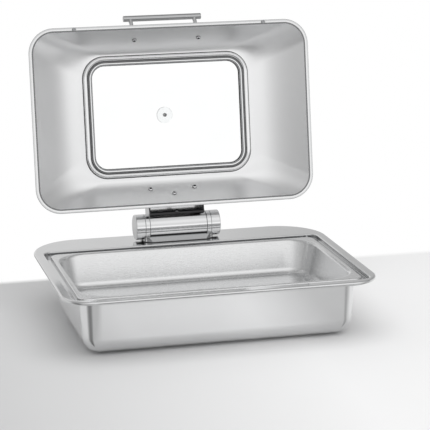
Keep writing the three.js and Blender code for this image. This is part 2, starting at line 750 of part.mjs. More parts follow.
// The torsion spring's helix about X
class Coil extends THREE.Curve {
  constructor(start, end) {
    super();
    this.start = start;
    this.end = end;
  }

  getPoint(share) {
    const angle = 2 * Math.PI * SPRING_TURNS * share;
    const x = THREE.MathUtils.lerp(this.start, this.end, share);
    return new THREE.Vector3(x, SPRING_RADIUS * Math.cos(angle), SPRING_RADIUS * Math.sin(angle));
  }
}

// Lid parts, modelled with the lid closed
function addLidShell() {
  const shares = Array.from({ length: DOME_STEPS + 1 }, (_, i) => i / DOME_STEPS);
  const inner = shares.map((share) => domePoint(share, 0));
  const outer = shares.map((share) => domePoint(share, LID_STEEL));
  const seat = LID_SEAT_HEIGHT;
  const hem = [
    { on: LID_PLAN, out: -HEM_WIDTH, z: seat + LID_STEEL },
    { on: LID_PLAN, out: -HEM_WIDTH, z: seat + HEM_THICKNESS },
    { on: LID_PLAN, out: -HEM_THICKNESS / 2, z: seat + HEM_THICKNESS },
    { on: LID_PLAN, out: 0, z: seat + HEM_THICKNESS / 2 },
    { on: LID_PLAN, out: -HEM_THICKNESS / 2, z: seat },
  ];
  const opening = [
    { on: FRAME_PLAN, out: -FRAME_SEAT, z: WINDOW_HEIGHT },
    { on: FRAME_PLAN, out: -FRAME_SEAT, z: WINDOW_HEIGHT + LID_STEEL },
  ];
  const shell = loft(ringsOf([...inner, ...opening, ...outer.reverse(), ...hem]), false);
  const holes = [...bracketScrews(), ...handleScrews()].map(({ x, share, side }) => {
    const drill = turned(rodPoints(SCREW_HOLE_RADIUS, -CUT_OVERRUN, LID_STEEL + CUT_OVERRUN), SCREW_SIDES);
    return solid(aim(drill, besideWall(x, share, 0, side), wallNormal(share, side)));
  });
  add(lid, "lid_shell", cut(shell, ...holes), satinSteel);
}

// A window trim on one face of the shell: a rounded bead, then a lip over the gasket
function trimProfile(base, away) {
  const bead = arcPoints(1, 180, 0, BEAD_STEPS).map(([along, up]) => {
    const foot = THREE.MathUtils.lerp(BEAD_EDGE, BEAD_FOOT, (1 + along) / 2);
    return [-(BEAD_WIDTH * (1 + along)) / 2, foot + (BEAD_HEIGHT - foot) * up];
  });
  const lipEnd = BEAD_WIDTH + LIP_WIDTH;
  const gasketTop = GLASS_THICKNESS / 2 + FIT_GAP + GASKET_LEG - LID_STEEL / 2;
  const under = gasketTop + FIT_GAP;
  const lipTop = Math.max(LIP_HEIGHT, under + LID_STEEL);
  const round = (lipTop - under) / 2;
  const back = [
    [-BEAD_WIDTH - round, lipTop],
    [-lipEnd + round, lipTop],
    [-lipEnd, lipTop - round],
    [-lipEnd, under],
    [-FRAME_SEAT, under],
    [-FRAME_SEAT, FIT_GAP],
    [0, FIT_GAP],
  ];
  return [...bead, ...back].map(([out, up]) => ({ on: FRAME_PLAN, out, z: base + away * up }));
}

function addWindow() {
  const innerTrim = loft(ringsOf(trimProfile(WINDOW_HEIGHT, -1)), false);
  const outerTrim = loft(ringsOf(trimProfile(WINDOW_HEIGHT + LID_STEEL, 1)), false);
  add(lid, "window_trim_inner", innerTrim, polishedSteel);
  add(lid, "window_trim_outer", outerTrim, polishedSteel);
  const halfGlass = GLASS_THICKNESS / 2;
  const halfSlot = halfGlass + FIT_GAP;
  const halfGasket = halfSlot + GASKET_LEG;
  const gasketEdge = -FRAME_SEAT - FIT_GAP;
  const slotEdge = gasketEdge - GASKET_LEG;
  const glassEdge = slotEdge - FIT_GAP;
  const mouth = gasketEdge - GASKET_WIDTH;
  const section = [
    [gasketEdge, -halfGasket],
    [gasketEdge, halfGasket],
    [mouth, halfGasket],
    [mouth, halfSlot],
    [slotEdge, halfSlot],
    [slotEdge, -halfSlot],
    [mouth, -halfSlot],
    [mouth, -halfGasket],
  ];
  const points = section.map(([out, up]) => ({ on: FRAME_PLAN, out, z: GLASS_MIDDLE_HEIGHT + up }));
  add(lid, "window_gasket", loft(ringsOf(points), false), blackRubber);
  const pane = plate(
    grow(FRAME_PLAN, glassEdge),
    GLASS_MIDDLE_HEIGHT - halfGlass,
    GLASS_MIDDLE_HEIGHT + halfGlass,
  );
  const drill = rodPoints(
    EYELET_RADIUS + FIT_GAP,
    GLASS_MIDDLE_HEIGHT - halfGlass - CUT_OVERRUN,
    GLASS_MIDDLE_HEIGHT + halfGlass + CUT_OVERRUN,
  );
  add(lid, "window_glass", cut(pane, solid(turned(drill, SCREW_SIDES).translate(VENT_OFFSET, 0, 0))), glass);
}

// Vent in the glass, a little left of the middle: a tubular eyelet between two soft washers
function addVent() {
  const faces = GLASS_THICKNESS / 2 + FIT_GAP;
  const outside = faces + VENT_WASHER_THICKNESS;
  const flangeStart = outside + FIT_GAP;
  const flangeEnd = flangeStart + EYELET_FLANGE;
  for (const [name, side] of [["inner", -1], ["outer", 1]]) {
    const [low, high] = mirrored(faces, outside, side);
    const washer = turned(tubePoints(VENT_WASHER_RADIUS, EYELET_RADIUS + FIT_GAP, low, high), ROD_SIDES);
    const placed = solid(washer.translate(VENT_OFFSET, 0, GLASS_MIDDLE_HEIGHT));
    add(lid, `vent_washer_${name}`, placed, clearSilicone);
  }
  const eyelet = turned(
    [
      [EYELET_BORE_RADIUS, -flangeEnd],
      [EYELET_FLANGE_RADIUS, -flangeEnd],
      [EYELET_FLANGE_RADIUS, -flangeStart],
      [EYELET_RADIUS, -flangeStart],
      [EYELET_RADIUS, flangeStart],
      [EYELET_FLANGE_RADIUS, flangeStart],
      [EYELET_FLANGE_RADIUS, flangeEnd],
      [EYELET_BORE_RADIUS, flangeEnd],
      [EYELET_BORE_RADIUS, -flangeEnd],
    ],
    SCREW_SIDES,
  );
  add(lid, "vent_eyelet", solid(eyelet.translate(VENT_OFFSET, 0, GLASS_MIDDLE_HEIGHT)), screwSteel);
}

// Handle on the front wall: a round bar on two posts, each with a long screw from inside the lid
function handleScrews() {
  return [-1, 1].map((side) => ({ x: side * (HANDLE_LENGTH / 2 - POST_INSET), share: HANDLE_FOOT_SHARE, side: -1 }));
}

function addHandle() {
  const normal = wallNormal(HANDLE_FOOT_SHARE, -1);
  const foot = besideWall(0, HANDLE_FOOT_SHARE, LID_STEEL + FIT_GAP, -1);
  const centre = foot.clone().addScaledVector(normal, HANDLE_REACH);
  const halfX = HANDLE_LENGTH / 2;
  const barPoints = [
    [0, -halfX],
    [HANDLE_RADIUS - HANDLE_CHAMFER, -halfX],
    [HANDLE_RADIUS, -halfX + HANDLE_CHAMFER],
    [HANDLE_RADIUS, halfX - HANDLE_CHAMFER],
    [HANDLE_RADIUS - HANDLE_CHAMFER, halfX],
    [0, halfX],
  ];
  const bar = solid(turnedAlongX(barPoints, ROD_SIDES).translate(centre.x, centre.y, centre.z));
  const screwTip = HANDLE_REACH - HANDLE_RADIUS + HANDLE_SCREW_BITE;
  const holes = handleScrews().map(({ x }) => {
    const drill = turned(rodPoints(SCREW_HOLE_RADIUS, 0, screwTip + FIT_GAP), SCREW_SIDES);
    return solid(aim(drill, foot.clone().setX(x), normal));
  });
  add(lid, "handle_bar", cut(bar, ...holes), chrome);
  const postPoints = [
    [SCREW_HOLE_RADIUS, 0],
    [POST_FOOT_RADIUS, 0],
    [POST_FOOT_RADIUS, POST_FOOT_HEIGHT],
    [POST_RADIUS, POST_FOOT_HEIGHT + POST_FOOT_FLARE],
    [POST_RADIUS, HANDLE_REACH],
    [SCREW_HOLE_RADIUS, HANDLE_REACH],
    [SCREW_HOLE_RADIUS, 0],
  ];
  const saddlePoints = rodPoints(HANDLE_RADIUS + FIT_GAP, -halfX, halfX);
  const saddle = solid(turnedAlongX(saddlePoints, ROD_SIDES).translate(centre.x, centre.y, centre.z));
  handleScrews().forEach(({ x }, i) => {
    const name = i === 0 ? "left" : "right";
    const post = solid(aim(turned(postPoints, ROD_SIDES), foot.clone().setX(x), normal));
    add(lid, `handle_post_${name}`, cut(post, saddle), chrome);
    const length = HEAD_GAP + LID_STEEL + FIT_GAP + screwTip;
    const place = besideWall(x, HANDLE_FOOT_SHARE, -HEAD_GAP, -1);
    const screw = aim(buttonScrew(length), place, normal.clone().negate());
    add(lid, `handle_screw_${name}`, screw, screwSteel);
  });
}

function addBumpers() {
  const round = arcPoints(BUMPER_ROUND, 0, -90, BEND_STEPS).map(([across, up]) => [
    BUMPER_RADIUS - BUMPER_ROUND + across,
    up,
  ]);
  const low = LID_SEAT_HEIGHT - FIT_GAP - BUMPER_HEIGHT + BUMPER_ROUND;
  const points = [
    [0, LID_SEAT_HEIGHT - FIT_GAP],
    [BUMPER_RADIUS, LID_SEAT_HEIGHT - FIT_GAP],
    ...round.map(([across, up]) => [across, low + up]),
    [0, low - BUMPER_ROUND],
  ];
  for (const [name, side] of [["left", -1], ["right", 1]]) {
    const pad = turned(points, SCREW_SIDES);
    const y = -LID_PLAN.front + BUMPER_RADIUS;
    add(lid, `lid_bumper_${name}`, solid(pad.translate(side * (LID_PLAN.halfX - BUMPER_INSET), y, 0)), greySilicone);
  }
}

// Bracket from the barrel to the rear wall: a channel, open below when the lid is closed
function bracketScrews() {
  const sides = [-1, 1].map((side) => ({
    name: side < 0 ? "left" : "right",
    x: side * (BARREL_LENGTH / 2 - BRACKET_SCREW_INSET),
    share: SIDE_SCREW_SHARE,
    side: 1,
  }));
  return [...sides, { name: "centre", x: 0, share: CENTRE_SCREW_SHARE, side: 1 }];
}

// The share of the dome's rear wall whose raised face is at a given height
function wallShareAt(height, raise) {
  let low = 0;
  let high = 1;
  for (let i = 0; i < HALVINGS; i++) {
    const middle = (low + high) / 2;
    if (wallPoint(middle, raise, 1).z < height) low = middle;
    else high = middle;
  }
  return low;
}

// Points up the rear wall from one share to another, corner by corner of the faceted shell
function wallLine(fromShare, toShare, raise) {
  const between = Array.from({ length: DOME_STEPS + 1 }, (_, i) => i / DOME_STEPS).filter(
    (share) => share > fromShare && share < toShare,
  );
  return [fromShare, ...between, toShare].map((share) => {
    const point = wallPoint(share, raise, 1);
    return [point.y, point.z];
  });
}

function addBracket() {
  const inner = BARREL_RADIUS + FIT_GAP;
  const outer = inner + BRACKET_WALL;
  const atHinge = ([y, z]) => [HINGE_Y - y, HINGE_HEIGHT + z];
  const wallGap = LID_STEEL + 2 * FIT_GAP;
  const topShare = wallShareAt(HINGE_HEIGHT + outer, wallGap);
  const body = [
    ...arcPoints(inner, BRACKET_LOW_DEGREES, 90, BARREL_SIDES / 4).map(atHinge),
    [HINGE_Y, HINGE_HEIGHT + outer],
    ...wallLine(BRACKET_FOOT_SHARE, topShare, wallGap).reverse(),
  ];
  const pocketGap = wallGap + BRACKET_WALL;
  const pocketTop = wallShareAt(HINGE_HEIGHT + inner, pocketGap);
  const bendDegrees = THREE.MathUtils.radToDeg(Math.asin(inner / outer));
  const lowEnd = wallPoint(BRACKET_FOOT_SHARE, pocketGap, 1);
  const [mouthY, mouthZ] = atHinge(arcPoints(outer, BRACKET_LOW_DEGREES, BRACKET_LOW_DEGREES, 1)[0]);
  const pocket = [
    ...arcPoints(outer, BRACKET_LOW_DEGREES, bendDegrees, BARREL_SIDES / 8).map(atHinge),
    ...wallLine(BRACKET_FOOT_SHARE, pocketTop, pocketGap).reverse(),
    [lowEnd.y, Math.min(lowEnd.z, mouthZ) - BRACKET_WALL],
    [mouthY, Math.min(lowEnd.z, mouthZ) - BRACKET_WALL],
  ];
  const channel = cut(
    solid(extrudeAlongX(body, BRACKET_LENGTH)),
    solid(extrudeAlongX(pocket, BRACKET_LENGTH - 2 * BRACKET_WALL)),
  );
  const holes = bracketScrews().map(({ x, share }) => {
    const drill = turned(rodPoints(SCREW_HOLE_RADIUS, 0, BRACKET_SCREW_LENGTH + CUT_OVERRUN), SCREW_SIDES);
    return solid(aim(drill, besideWall(x, share, 0, 1), wallNormal(share, 1)));
  });
  const barrelDrill = turned(rodPoints(SCREW_HOLE_RADIUS, BARREL_RADIUS, outer + CUT_OVERRUN), SCREW_SIDES);
  const onBarrel = barrelScrewAim();
  holes.push(solid(aim(barrelDrill, new THREE.Vector3(0, HINGE_Y, HINGE_HEIGHT), onBarrel)));
  add(lid, "hinge_lid_bracket", cut(channel, ...holes), chrome);
  for (const { name, x, share } of bracketScrews()) {
    const place = besideWall(x, share, -HEAD_GAP, 1);
    const screw = aim(buttonScrew(BRACKET_SCREW_LENGTH), place, wallNormal(share, 1).negate());
    add(lid, `bracket_screw_${name}`, screw, screwSteel);
  }
  const headPlace = new THREE.Vector3(0, HINGE_Y, HINGE_HEIGHT).addScaledVector(onBarrel, outer + HEAD_GAP);
  add(lid, "barrel_screw", aim(buttonScrew(BARREL_SCREW_LENGTH), headPlace, onBarrel), screwSteel);
}

function barrelScrewAim() {
  const angle = THREE.MathUtils.degToRad(BARREL_SCREW_DEGREES);
  return new THREE.Vector3(0, -Math.cos(angle), Math.sin(angle));
}

function addBarrel() {
  const half = BARREL_LENGTH / 2;
  const bore = BARREL_RADIUS - BARREL_WALL;
  const points = [
    [bore, -half],
    [BARREL_RADIUS - BARREL_CHAMFER, -half],
    [BARREL_RADIUS, -half + BARREL_CHAMFER],
    [BARREL_RADIUS, half - BARREL_CHAMFER],
    [BARREL_RADIUS - BARREL_CHAMFER, half],
    [bore, half],
    [bore, -half],
  ];
  const tube = solid(alongHinge(turnedAlongX(points, BARREL_SIDES)));
  const drill = turned(rodPoints(SCREW_HOLE_RADIUS, 0, BARREL_RADIUS + CUT_OVERRUN), SCREW_SIDES);
  const hole = solid(aim(drill, new THREE.Vector3(0, HINGE_Y, HINGE_HEIGHT), barrelScrewAim()));
  add(lid, "hinge_barrel", cut(tube, hole), chrome);
  for (const [name, side] of [["left", -1], ["right", 1]]) {
    const [low, high] = mirrored(half - HUB_THICKNESS, half - BUSH_FLANGE, side);
    const hub = turnedAlongX(tubePoints(bore - FIT_GAP, BUSH_RADIUS + FIT_GAP, low, high), ROD_SIDES);
    add(lid, `hinge_hub_${name}`, alongHinge(geometryOf(solid(hub))), screwSteel);
    addBush(name, side, half);
  }
}

function addBush(name, side, half) {
  const flangeFace = half;
  const flangeBack = half - BUSH_FLANGE + FIT_GAP;
  const end = half - HUB_THICKNESS;
  const points = [
    [SHAFT_BORE_RADIUS, end],
    [BUSH_RADIUS, end],
    [BUSH_RADIUS, flangeBack],
    [BUSH_FLANGE_RADIUS, flangeBack],
    [BUSH_FLANGE_RADIUS, flangeFace],
    [SHAFT_BORE_RADIUS, flangeFace],
    [SHAFT_BORE_RADIUS, end],
  ];
  const geometry = turnedAlongX(points, ROD_SIDES);
  if (side < 0) geometry.rotateZ(Math.PI);
  add(lid, `hinge_bush_${name}`, alongHinge(geometryOf(solid(geometry))), bronze);
}

addWaterPan();
addFoodPan();
addHingeBase();
addBaseFastening();
addShaft();
addDamperAndSpring();
addLidShell();
addWindow();
addVent();
addHandle();
addBumpers();
addBracket();
addBarrel();

export default dish;
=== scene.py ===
# The looks of the chafing dish: finer steel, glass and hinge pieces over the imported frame, their
# materials, a pale floor, a soft studio and the camera. Sizes are millimetres until a mesh is made
import math

import bmesh
import bpy
from mathutils import Matrix, Vector


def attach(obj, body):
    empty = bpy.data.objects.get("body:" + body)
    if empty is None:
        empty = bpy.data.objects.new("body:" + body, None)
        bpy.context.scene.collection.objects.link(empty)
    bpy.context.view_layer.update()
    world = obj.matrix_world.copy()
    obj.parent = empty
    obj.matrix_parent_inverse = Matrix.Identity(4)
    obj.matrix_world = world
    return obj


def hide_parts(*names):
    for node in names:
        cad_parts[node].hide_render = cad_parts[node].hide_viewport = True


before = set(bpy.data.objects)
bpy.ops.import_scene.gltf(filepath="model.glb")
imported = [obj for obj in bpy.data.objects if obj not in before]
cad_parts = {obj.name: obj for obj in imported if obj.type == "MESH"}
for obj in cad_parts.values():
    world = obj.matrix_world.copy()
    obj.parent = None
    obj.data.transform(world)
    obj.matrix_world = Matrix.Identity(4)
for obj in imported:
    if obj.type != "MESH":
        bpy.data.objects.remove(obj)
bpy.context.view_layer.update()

MM = 0.001
MERGE_DISTANCE = 1e-7
AXIS_RADIUS = 1e-6

# Fineness of the curves, as counts
CORNER_STEPS = 20
BEND_STEPS = 8
FLOOR_BEND_STEPS = 16
DOME_STEPS = 40
RING_POINTS = 4 * (CORNER_STEPS + 1)
BEAD_STEPS = 16
BARREL_SIDES = 96
ROD_SIDES = 48
SCREW_SIDES = 40
SOCKET_SIDES = 6
CHAMFER_STEPS = 4
FLARE_STEPS = 6
SADDLE_STEPS = 32
POCKET_STEPS = 24
WALL_STEPS = 24
TROUGH_STEPS = 40
HALVINGS = 40

# Clearances
FIT_GAP = 0.3
HEAD_GAP = 0.5
CUT_OVERRUN = 3

# Edges: the width that is rounded off, its segments, and the angles from which an edge is one
EDGE_ROUND = 0.35
EDGE_SEGMENTS = 2
EDGE_DEGREES = 28
SHARP_DEGREES = 35
TRIM_SHARP_DEGREES = 40
SMALLEST_CORNER = 0.5

# Food pan
PAN_LENGTH = 530
PAN_WIDTH = 325
PAN_DEPTH = 65
PAN_STEEL = 0.8
PAN_FLANGE = 11
PAN_FLANGE_CORNER = 18
PAN_MOUTH_CORNER = 56
PAN_DRAFT = 14
PAN_LIP = 6
PAN_LIP_BEND = 2.2
PAN_MOUTH_BEND = 6
PAN_FLOOR_BEND = 15

# Water pan
PAN_TOP_HEIGHT = 115
RIM_STEP = 2
TUB_STEEL = 1
TUB_CLEARANCE = 2
TUB_DRAFT = 5
TUB_FLOOR_BEND = 32
TUB_LEDGE_BEND = 3
TUB_MOUTH_CORNER = 36
GROOVE_SIDE = 10.5
GROOVE_END = 12
GROOVE_CORNER = 17
GROOVE_FLOOR_BEND = 2
GROOVE_TOP_BEND = 1.6
RIM_SIDE = 18
RIM_FRONT = 19
RIM_BACK = 88
RIM_FRONT_CORNER = 60
RIM_BACK_CORNER = 96
RIM_EDGE_BEND = 2.6
RIM_SKIRT = 7
RIM_RETURN = 6
RIM_RETURN_BEND = 1.2
PLATE_THICKNESS = 3
PLATE_INSET = 0.5
PLATE_CHAMFER = 0.6

# Lid
LID_OVERLAP = 5.5
LID_CORNER = 50
LID_STEEL = 1
LID_BAND = 7
HEM_THICKNESS = 2.2
HEM_WIDTH = 5
HEM_ROUND = 0.3
HEM_STEP = 0.6
HEM_STEP_HEIGHT = 0.2
HEM_SEAT_INSET = 3.3
CREASE_INSET = 1.8
CREASE_REACH = 1.1
CREASE_PROUD = 0.04
CREASE_DEPTH = 0.3
DOME_HEIGHT = 57
LID_OPEN_DEGREES = 98.7
FRAME_LENGTH = 339
FRAME_WIDTH = 244
FRAME_CORNER = 45
FRAME_SEAT = 11.5
BEAD_WIDTH = 14.1
BEAD_EDGE = 0.9
BEAD_HEIGHT = 5.3
VALLEY_WIDTH = 4.1
VALLEY_HEIGHT = 2.6
VALLEY_DROP = 0.4
FLANGE_WIDTH = 1.5
FLANGE_HEIGHT = 0.6
LIP_WIDTH = 2.6
LIP_HEIGHT = 4.6
LIP_BED = 0.25
LIP_BED_MARGIN = 0.1
LIP_FOOT = 0.5
LIP_LEAN = 0.3
GLASS_THICKNESS = 4
GASKET_LEG = 1.2
GASKET_WIDTH = 7.2
GASKET_OUTER_REACH = 1.2
VENT_OFFSET = -6
VENT_WASHER_RADIUS = 16
VENT_WASHER_THICKNESS = 1.2
VENT_WASHER_CHAMFER = 0.4
EYELET_RADIUS = 3
EYELET_BORE_RADIUS = 1.3
EYELET_FLANGE_RADIUS = 3.5
EYELET_FLANGE = 0.8
EYELET_DRAFT = 0.1
EYELET_EDGE = 0.3
EYELET_CHAMFER = 0.5

# Handle and bumpers
HANDLE_LENGTH = 158
HANDLE_RADIUS = 6
HANDLE_CHAMFER = 0.8
HANDLE_REACH = 51.5
HANDLE_FOOT_SHARE = 0.43
POST_INSET = 14
POST_RADIUS = 4
POST_FOOT_RADIUS = 6.5
POST_FOOT_HEIGHT = 2.4
POST_FOOT_FLARE = 2.5
POST_FOOT_CHAMFER = 0.3
HANDLE_SCREW_BITE = 2
SCREW_RADIUS = 2.5
SCREW_HEAD_RADIUS = 4.75
SCREW_HEAD_HEIGHT = 2.8
SCREW_HEAD_UNDERCUT = 0.2
SCREW_SOCKET_RADIUS = 2.8
SCREW_SOCKET_DEPTH = 1.6
BUMPER_HEIGHT = 2.6
BUMPER_RADIUS = 3.8
BUMPER_ROUND = 1
BUMPER_INSET = 91

# Hinge
BARREL_RADIUS = 25
BARREL_WALL = 3
BARREL_LENGTH = 115
BARREL_RUNNING_GAP = 0.5
BARREL_CHAMFER = 0.6
BARREL_SETBACK = 13
BARREL_RIM_GAP = 0.5
EAR_WIDTH = 8.4
CAP_LENGTH = 18.6
CAP_WALL = 2.5
CAP_ROUND = 2
CAP_FACE_SHARE = 0.95
BASE_PAD = 1.5
BASE_END_MARGIN = 2.9
BASE_REACH = 28
BASE_TOE = 1.6
BASE_FOLD = 8.6
BASE_FOLD_REACH_SHARE = 0.87
BASE_SHOULDER = 10.2
BASE_SHOULDER_REACH_SHARE = 0.78
BASE_CLEARANCE = 1
BASE_CORNER_LENGTH = 14
BASE_CORNER_WIDTH = 9
BRACKET_SETBACK = 1.5
BRACKET_WALL = 3.2
BRACKET_LOW_DEGREES = -27
BRACKET_FOOT_SHARE = 0.2
BRACKET_SCREW_INSET = 12.5
SIDE_SCREW_SHARE = 0.53
CENTRE_SCREW_SHARE = 0.34
BRACKET_SCREW_LENGTH = 8
BRACKET_EDGE_ROUND = 0.3
BARREL_SCREW_DEGREES = -15
PAINTED_SHADE_SIDE_SHARE = 0.9
PAINTED_SHADE_END_MARGIN = 1
PAINTED_SHADE_MOUTH = 0.5
PAINTED_SHADE_DEPTH = 0.1
RING_INNER_RADIUS = 18
RING_OUTER_RADIUS = 24.6
RUBBER_GAP = 0.05
TROUGH_DEGREES = -31
TROUGH_INNER_GAP = 0.25
TROUGH_END_GAP = 0.4

# The photograph's camera: place in metres, turns to the right, down and about its own axis
CAMERA_PLACE = (-0.795, -3.2551, 1.0164)
CAMERA_TURN = 14.133
CAMERA_DOWN = 13.474
CAMERA_ROLL = -0.45
CAMERA_LENS = 154.16
SENSOR_WIDTH = 36
CAMERA_CLIP = (0.05, 50)


# Plan outlines: half length, reach to the front and back, and the corner radii at the front and,
# where they differ, at the back
def plan(half_x, front, back, corner, back_corner=None):
    return (half_x, front, back, corner, back_corner or corner)


def grow(shape, out):
    corners = [max(corner + out, SMALLEST_CORNER) for corner in shape[3:]]
    return plan(*(reach + out for reach in shape[:3]), *corners)


def widen(shape, side, front, back, *corners):
    return plan(shape[0] + side, shape[1] + front, shape[2] + back, *corners)


def with_corner(shape, corner):
    return plan(*shape[:3], corner)


PAN_FLANGE_PLAN = plan(PAN_LENGTH / 2, PAN_WIDTH / 2, PAN_WIDTH / 2, PAN_FLANGE_CORNER)
PAN_MOUTH_PLAN = with_corner(grow(PAN_FLANGE_PLAN, -PAN_FLANGE), PAN_MOUTH_CORNER)
TUB_GROWTH = PAN_STEEL + TUB_CLEARANCE + TUB_STEEL
TUB_PLAN = with_corner(grow(PAN_MOUTH_PLAN, TUB_GROWTH), TUB_MOUTH_CORNER)
GROOVE_PLAN = widen(PAN_FLANGE_PLAN, GROOVE_SIDE, GROOVE_END, GROOVE_END, GROOVE_CORNER)
RIM_PLAN = widen(GROOVE_PLAN, RIM_SIDE, RIM_FRONT, RIM_BACK, RIM_FRONT_CORNER, RIM_BACK_CORNER)
LID_PLAN = with_corner(grow(GROOVE_PLAN, LID_OVERLAP), LID_CORNER)
DOME_PLAN = grow(LID_PLAN, -LID_BAND)
FRAME_PLAN = plan(FRAME_LENGTH / 2, FRAME_WIDTH / 2, FRAME_WIDTH / 2, FRAME_CORNER)

RIM_HEIGHT = PAN_TOP_HEIGHT + RIM_STEP
LEDGE_HEIGHT = PAN_TOP_HEIGHT - PAN_LIP - FIT_GAP
PAN_FLOOR_HEIGHT = PAN_TOP_HEIGHT - PAN_DEPTH
LID_SEAT_HEIGHT = RIM_HEIGHT + FIT_GAP + BUMPER_HEIGHT
WINDOW_HEIGHT = LID_SEAT_HEIGHT + DOME_HEIGHT
GLASS_MIDDLE_HEIGHT = WINDOW_HEIGHT + LID_STEEL / 2
HINGE_HEIGHT = RIM_HEIGHT + BASE_PAD + BARREL_RIM_GAP + BARREL_RADIUS
HINGE_Y = LID_PLAN[2] + BARREL_SETBACK + BARREL_RADIUS
EAR_START = BARREL_LENGTH / 2 + BARREL_RUNNING_GAP
EAR_END = EAR_START + EAR_WIDTH
BASE_LENGTH = 2 * (EAR_END + BASE_END_MARGIN)
CAP_START = EAR_END + FIT_GAP
BRACKET_LENGTH = BARREL_LENGTH - 2 * BRACKET_SETBACK
SIDES = (("left", -1), ("right", 1))


# Placing: standing pieces stay, lid pieces turn about the hinge, hinge pieces are made along X
def standing(point):
    return point


def about_hinge(point, degrees):
    angle = math.radians(degrees)
    y = point.y - HINGE_Y
    z = point.z - HINGE_HEIGHT
    turned_y = y * math.cos(angle) - z * math.sin(angle)
    turned_z = y * math.sin(angle) + z * math.cos(angle)
    return Vector((point.x, HINGE_Y + turned_y, HINGE_HEIGHT + turned_z))


def opened(point):
    return about_hinge(point, -LID_OPEN_DEGREES)


def closed(point):
    return about_hinge(point, LID_OPEN_DEGREES)


def at_hinge(point):
    return Vector((point.x, point.y + HINGE_Y, point.z + HINGE_HEIGHT))


def new_object(name, data):
    item = bpy.data.objects.new(name, data)
    bpy.context.scene.collection.objects.link(item)
    return item


# Meshes
def mesh_object(name, points, faces, place=standing):
    mesh = bpy.data.meshes.new(name)
    mesh.from_pydata([place(Vector(point)) * MM for point in points], [], faces)
    shape = bmesh.new()
    shape.from_mesh(mesh)
    bmesh.ops.remove_doubles(shape, verts=shape.verts, dist=MERGE_DISTANCE)
    bmesh.ops.recalc_face_normals(shape, faces=shape.faces)
    shape.to_mesh(mesh)
    shape.free()
    return new_object(name, mesh)


def settle(piece):
    bpy.context.view_layer.update()
    graph = bpy.context.evaluated_depsgraph_get()
    mesh = bpy.data.meshes.new_from_object(piece.evaluated_get(graph))
    piece.modifiers.clear()
    piece.data = mesh


def carve(piece, tools, operation="DIFFERENCE", material_mode="INDEX"):
    for tool in tools:
        modifier = piece.modifiers.new("carve", "BOOLEAN")
        modifier.operation = operation
        modifier.solver = "EXACT"
        modifier.material_mode = material_mode
        modifier.object = tool
    settle(piece)
    for tool in tools:
        bpy.data.objects.remove(tool)
    return piece


def round_edges(piece, width=EDGE_ROUND):
    modifier = piece.modifiers.new("edge", "BEVEL")
    modifier.width = width * MM
    modifier.segments = EDGE_SEGMENTS
    modifier.limit_method = "ANGLE"
    modifier.angle_limit = math.radians(EDGE_DEGREES)
    modifier.use_clamp_overlap = True
    settle(piece)
    return piece


def smooth(piece, sharp_degrees):
    piece.data.shade_smooth()
    piece.data.set_sharp_from_angle(angle=math.radians(sharp_degrees))
    modifier = piece.modifiers.new("even_normals", "WEIGHTED_NORMAL")
    modifier.keep_sharp = True


def show(piece, body, nodes, material, sharp_degrees=SHARP_DEGREES):
    smooth(piece, sharp_degrees)
    if not piece.data.materials:
        piece.data.materials.append(material)
    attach(piece, body)
    if nodes:
        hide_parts(*nodes)


# Materials by band of a loft or lathe, with count faces to a band: the first one all over, and
# each further one on its own bands
def mark_bands(piece, count, material, *others):
    piece.data.materials.append(material)
    for index, (other, bands) in enumerate(others, 1):
        piece.data.materials.append(other)
        for face in piece.data.polygons:
            if face.index // count in bands:
                face.material_index = index


# Materials by place: a test on each face's normal and centre, in millimetres
def mark_faces(piece, material, other, test):
    piece.data.materials.clear()
    for look in (material, other):
        piece.data.materials.append(look)
    for face in piece.data.polygons:
        face.material_index = int(test(face.center / MM, face.normal))


# The points of a plan outline, each corner a quarter circle
def ring(shape, height):
    half_x, front, back, front_corner, back_corner = shape
    corners = [(side, back, back_corner) for side in (1, -1)]
    corners += [(side, -front, front_corner) for side in (-1, 1)]
    points = []
    for turn, (side, y, radius) in enumerate(corners):
        centre = (side * (half_x - radius), y - math.copysign(radius, y))
        quarter = arc(radius, 90 * turn, 90 * (turn + 1), centre, CORNER_STEPS)
        points += [Vector((*point, height)) for point in quarter]
    return points


def loft(name, rings, capped, place=standing):
    count = len(rings[0])
    bands = len(rings) - 1 if capped else len(rings)
    faces = []
    for band in range(bands):
        low = band * count
        high = ((band + 1) % len(rings)) * count
        for i in range(count):
            following = (i + 1) % count
            faces.append((low + i, low + following, high + following, high + i))
    if capped:
        faces.append(tuple(range(count)))
        faces.append(tuple(range(bands * count, (bands + 1) * count)))
    points = [point for one_ring in rings for point in one_ring]
    return mesh_object(name, points, faces, place)


# Profiles are lists of (plan, distance out from it, height, bend radius, bend steps)
def bend(vertices):
    flat = [Vector((vertex[0][0] + vertex[1], vertex[2])) for vertex in vertices]
    profile = []
    for i, (shape, out, height, radius, steps) in enumerate(vertices):
        if not radius:
            profile.append((shape, out, height))
            continue
        here = flat[i]
        back = flat[i - 1] - here
        ahead = flat[i + 1] - here
        room = min(back.length, ahead.length) / 2
        back.normalize()
        ahead.normalize()
        half = math.acos(max(-1, min(1, back.dot(ahead)))) / 2
        fitted = min(radius, room * math.tan(half))
        centre = here + (back + ahead).normalized() * fitted / math.sin(half)
        start = here + back * fitted / math.tan(half) - centre
        end = here + ahead * fitted / math.tan(half) - centre
        sweep = math.atan2(start.x * end.y - start.y * end.x, start.dot(end))
        for step in range(steps + 1):
            turn = sweep * step / steps
            spoke_x = start.x * math.cos(turn) - start.y * math.sin(turn)
            spoke_y = start.x * math.sin(turn) + start.y * math.cos(turn)
            profile.append((shape, centre.x + spoke_x - shape[0], centre.y + spoke_y))
    return profile


def rings_of(profile):
    return [ring(grow(shape, out), height) for shape, out, height in profile]


# A section of (distance out, height) points on a plan, upward or downward from a base
def on_plan(shape, section, base, away=1):
    return [(shape, out, base + away * up) for out, up in section]


def lid_loft(name, profile):
    return loft(name, rings_of(profile), False, opened)


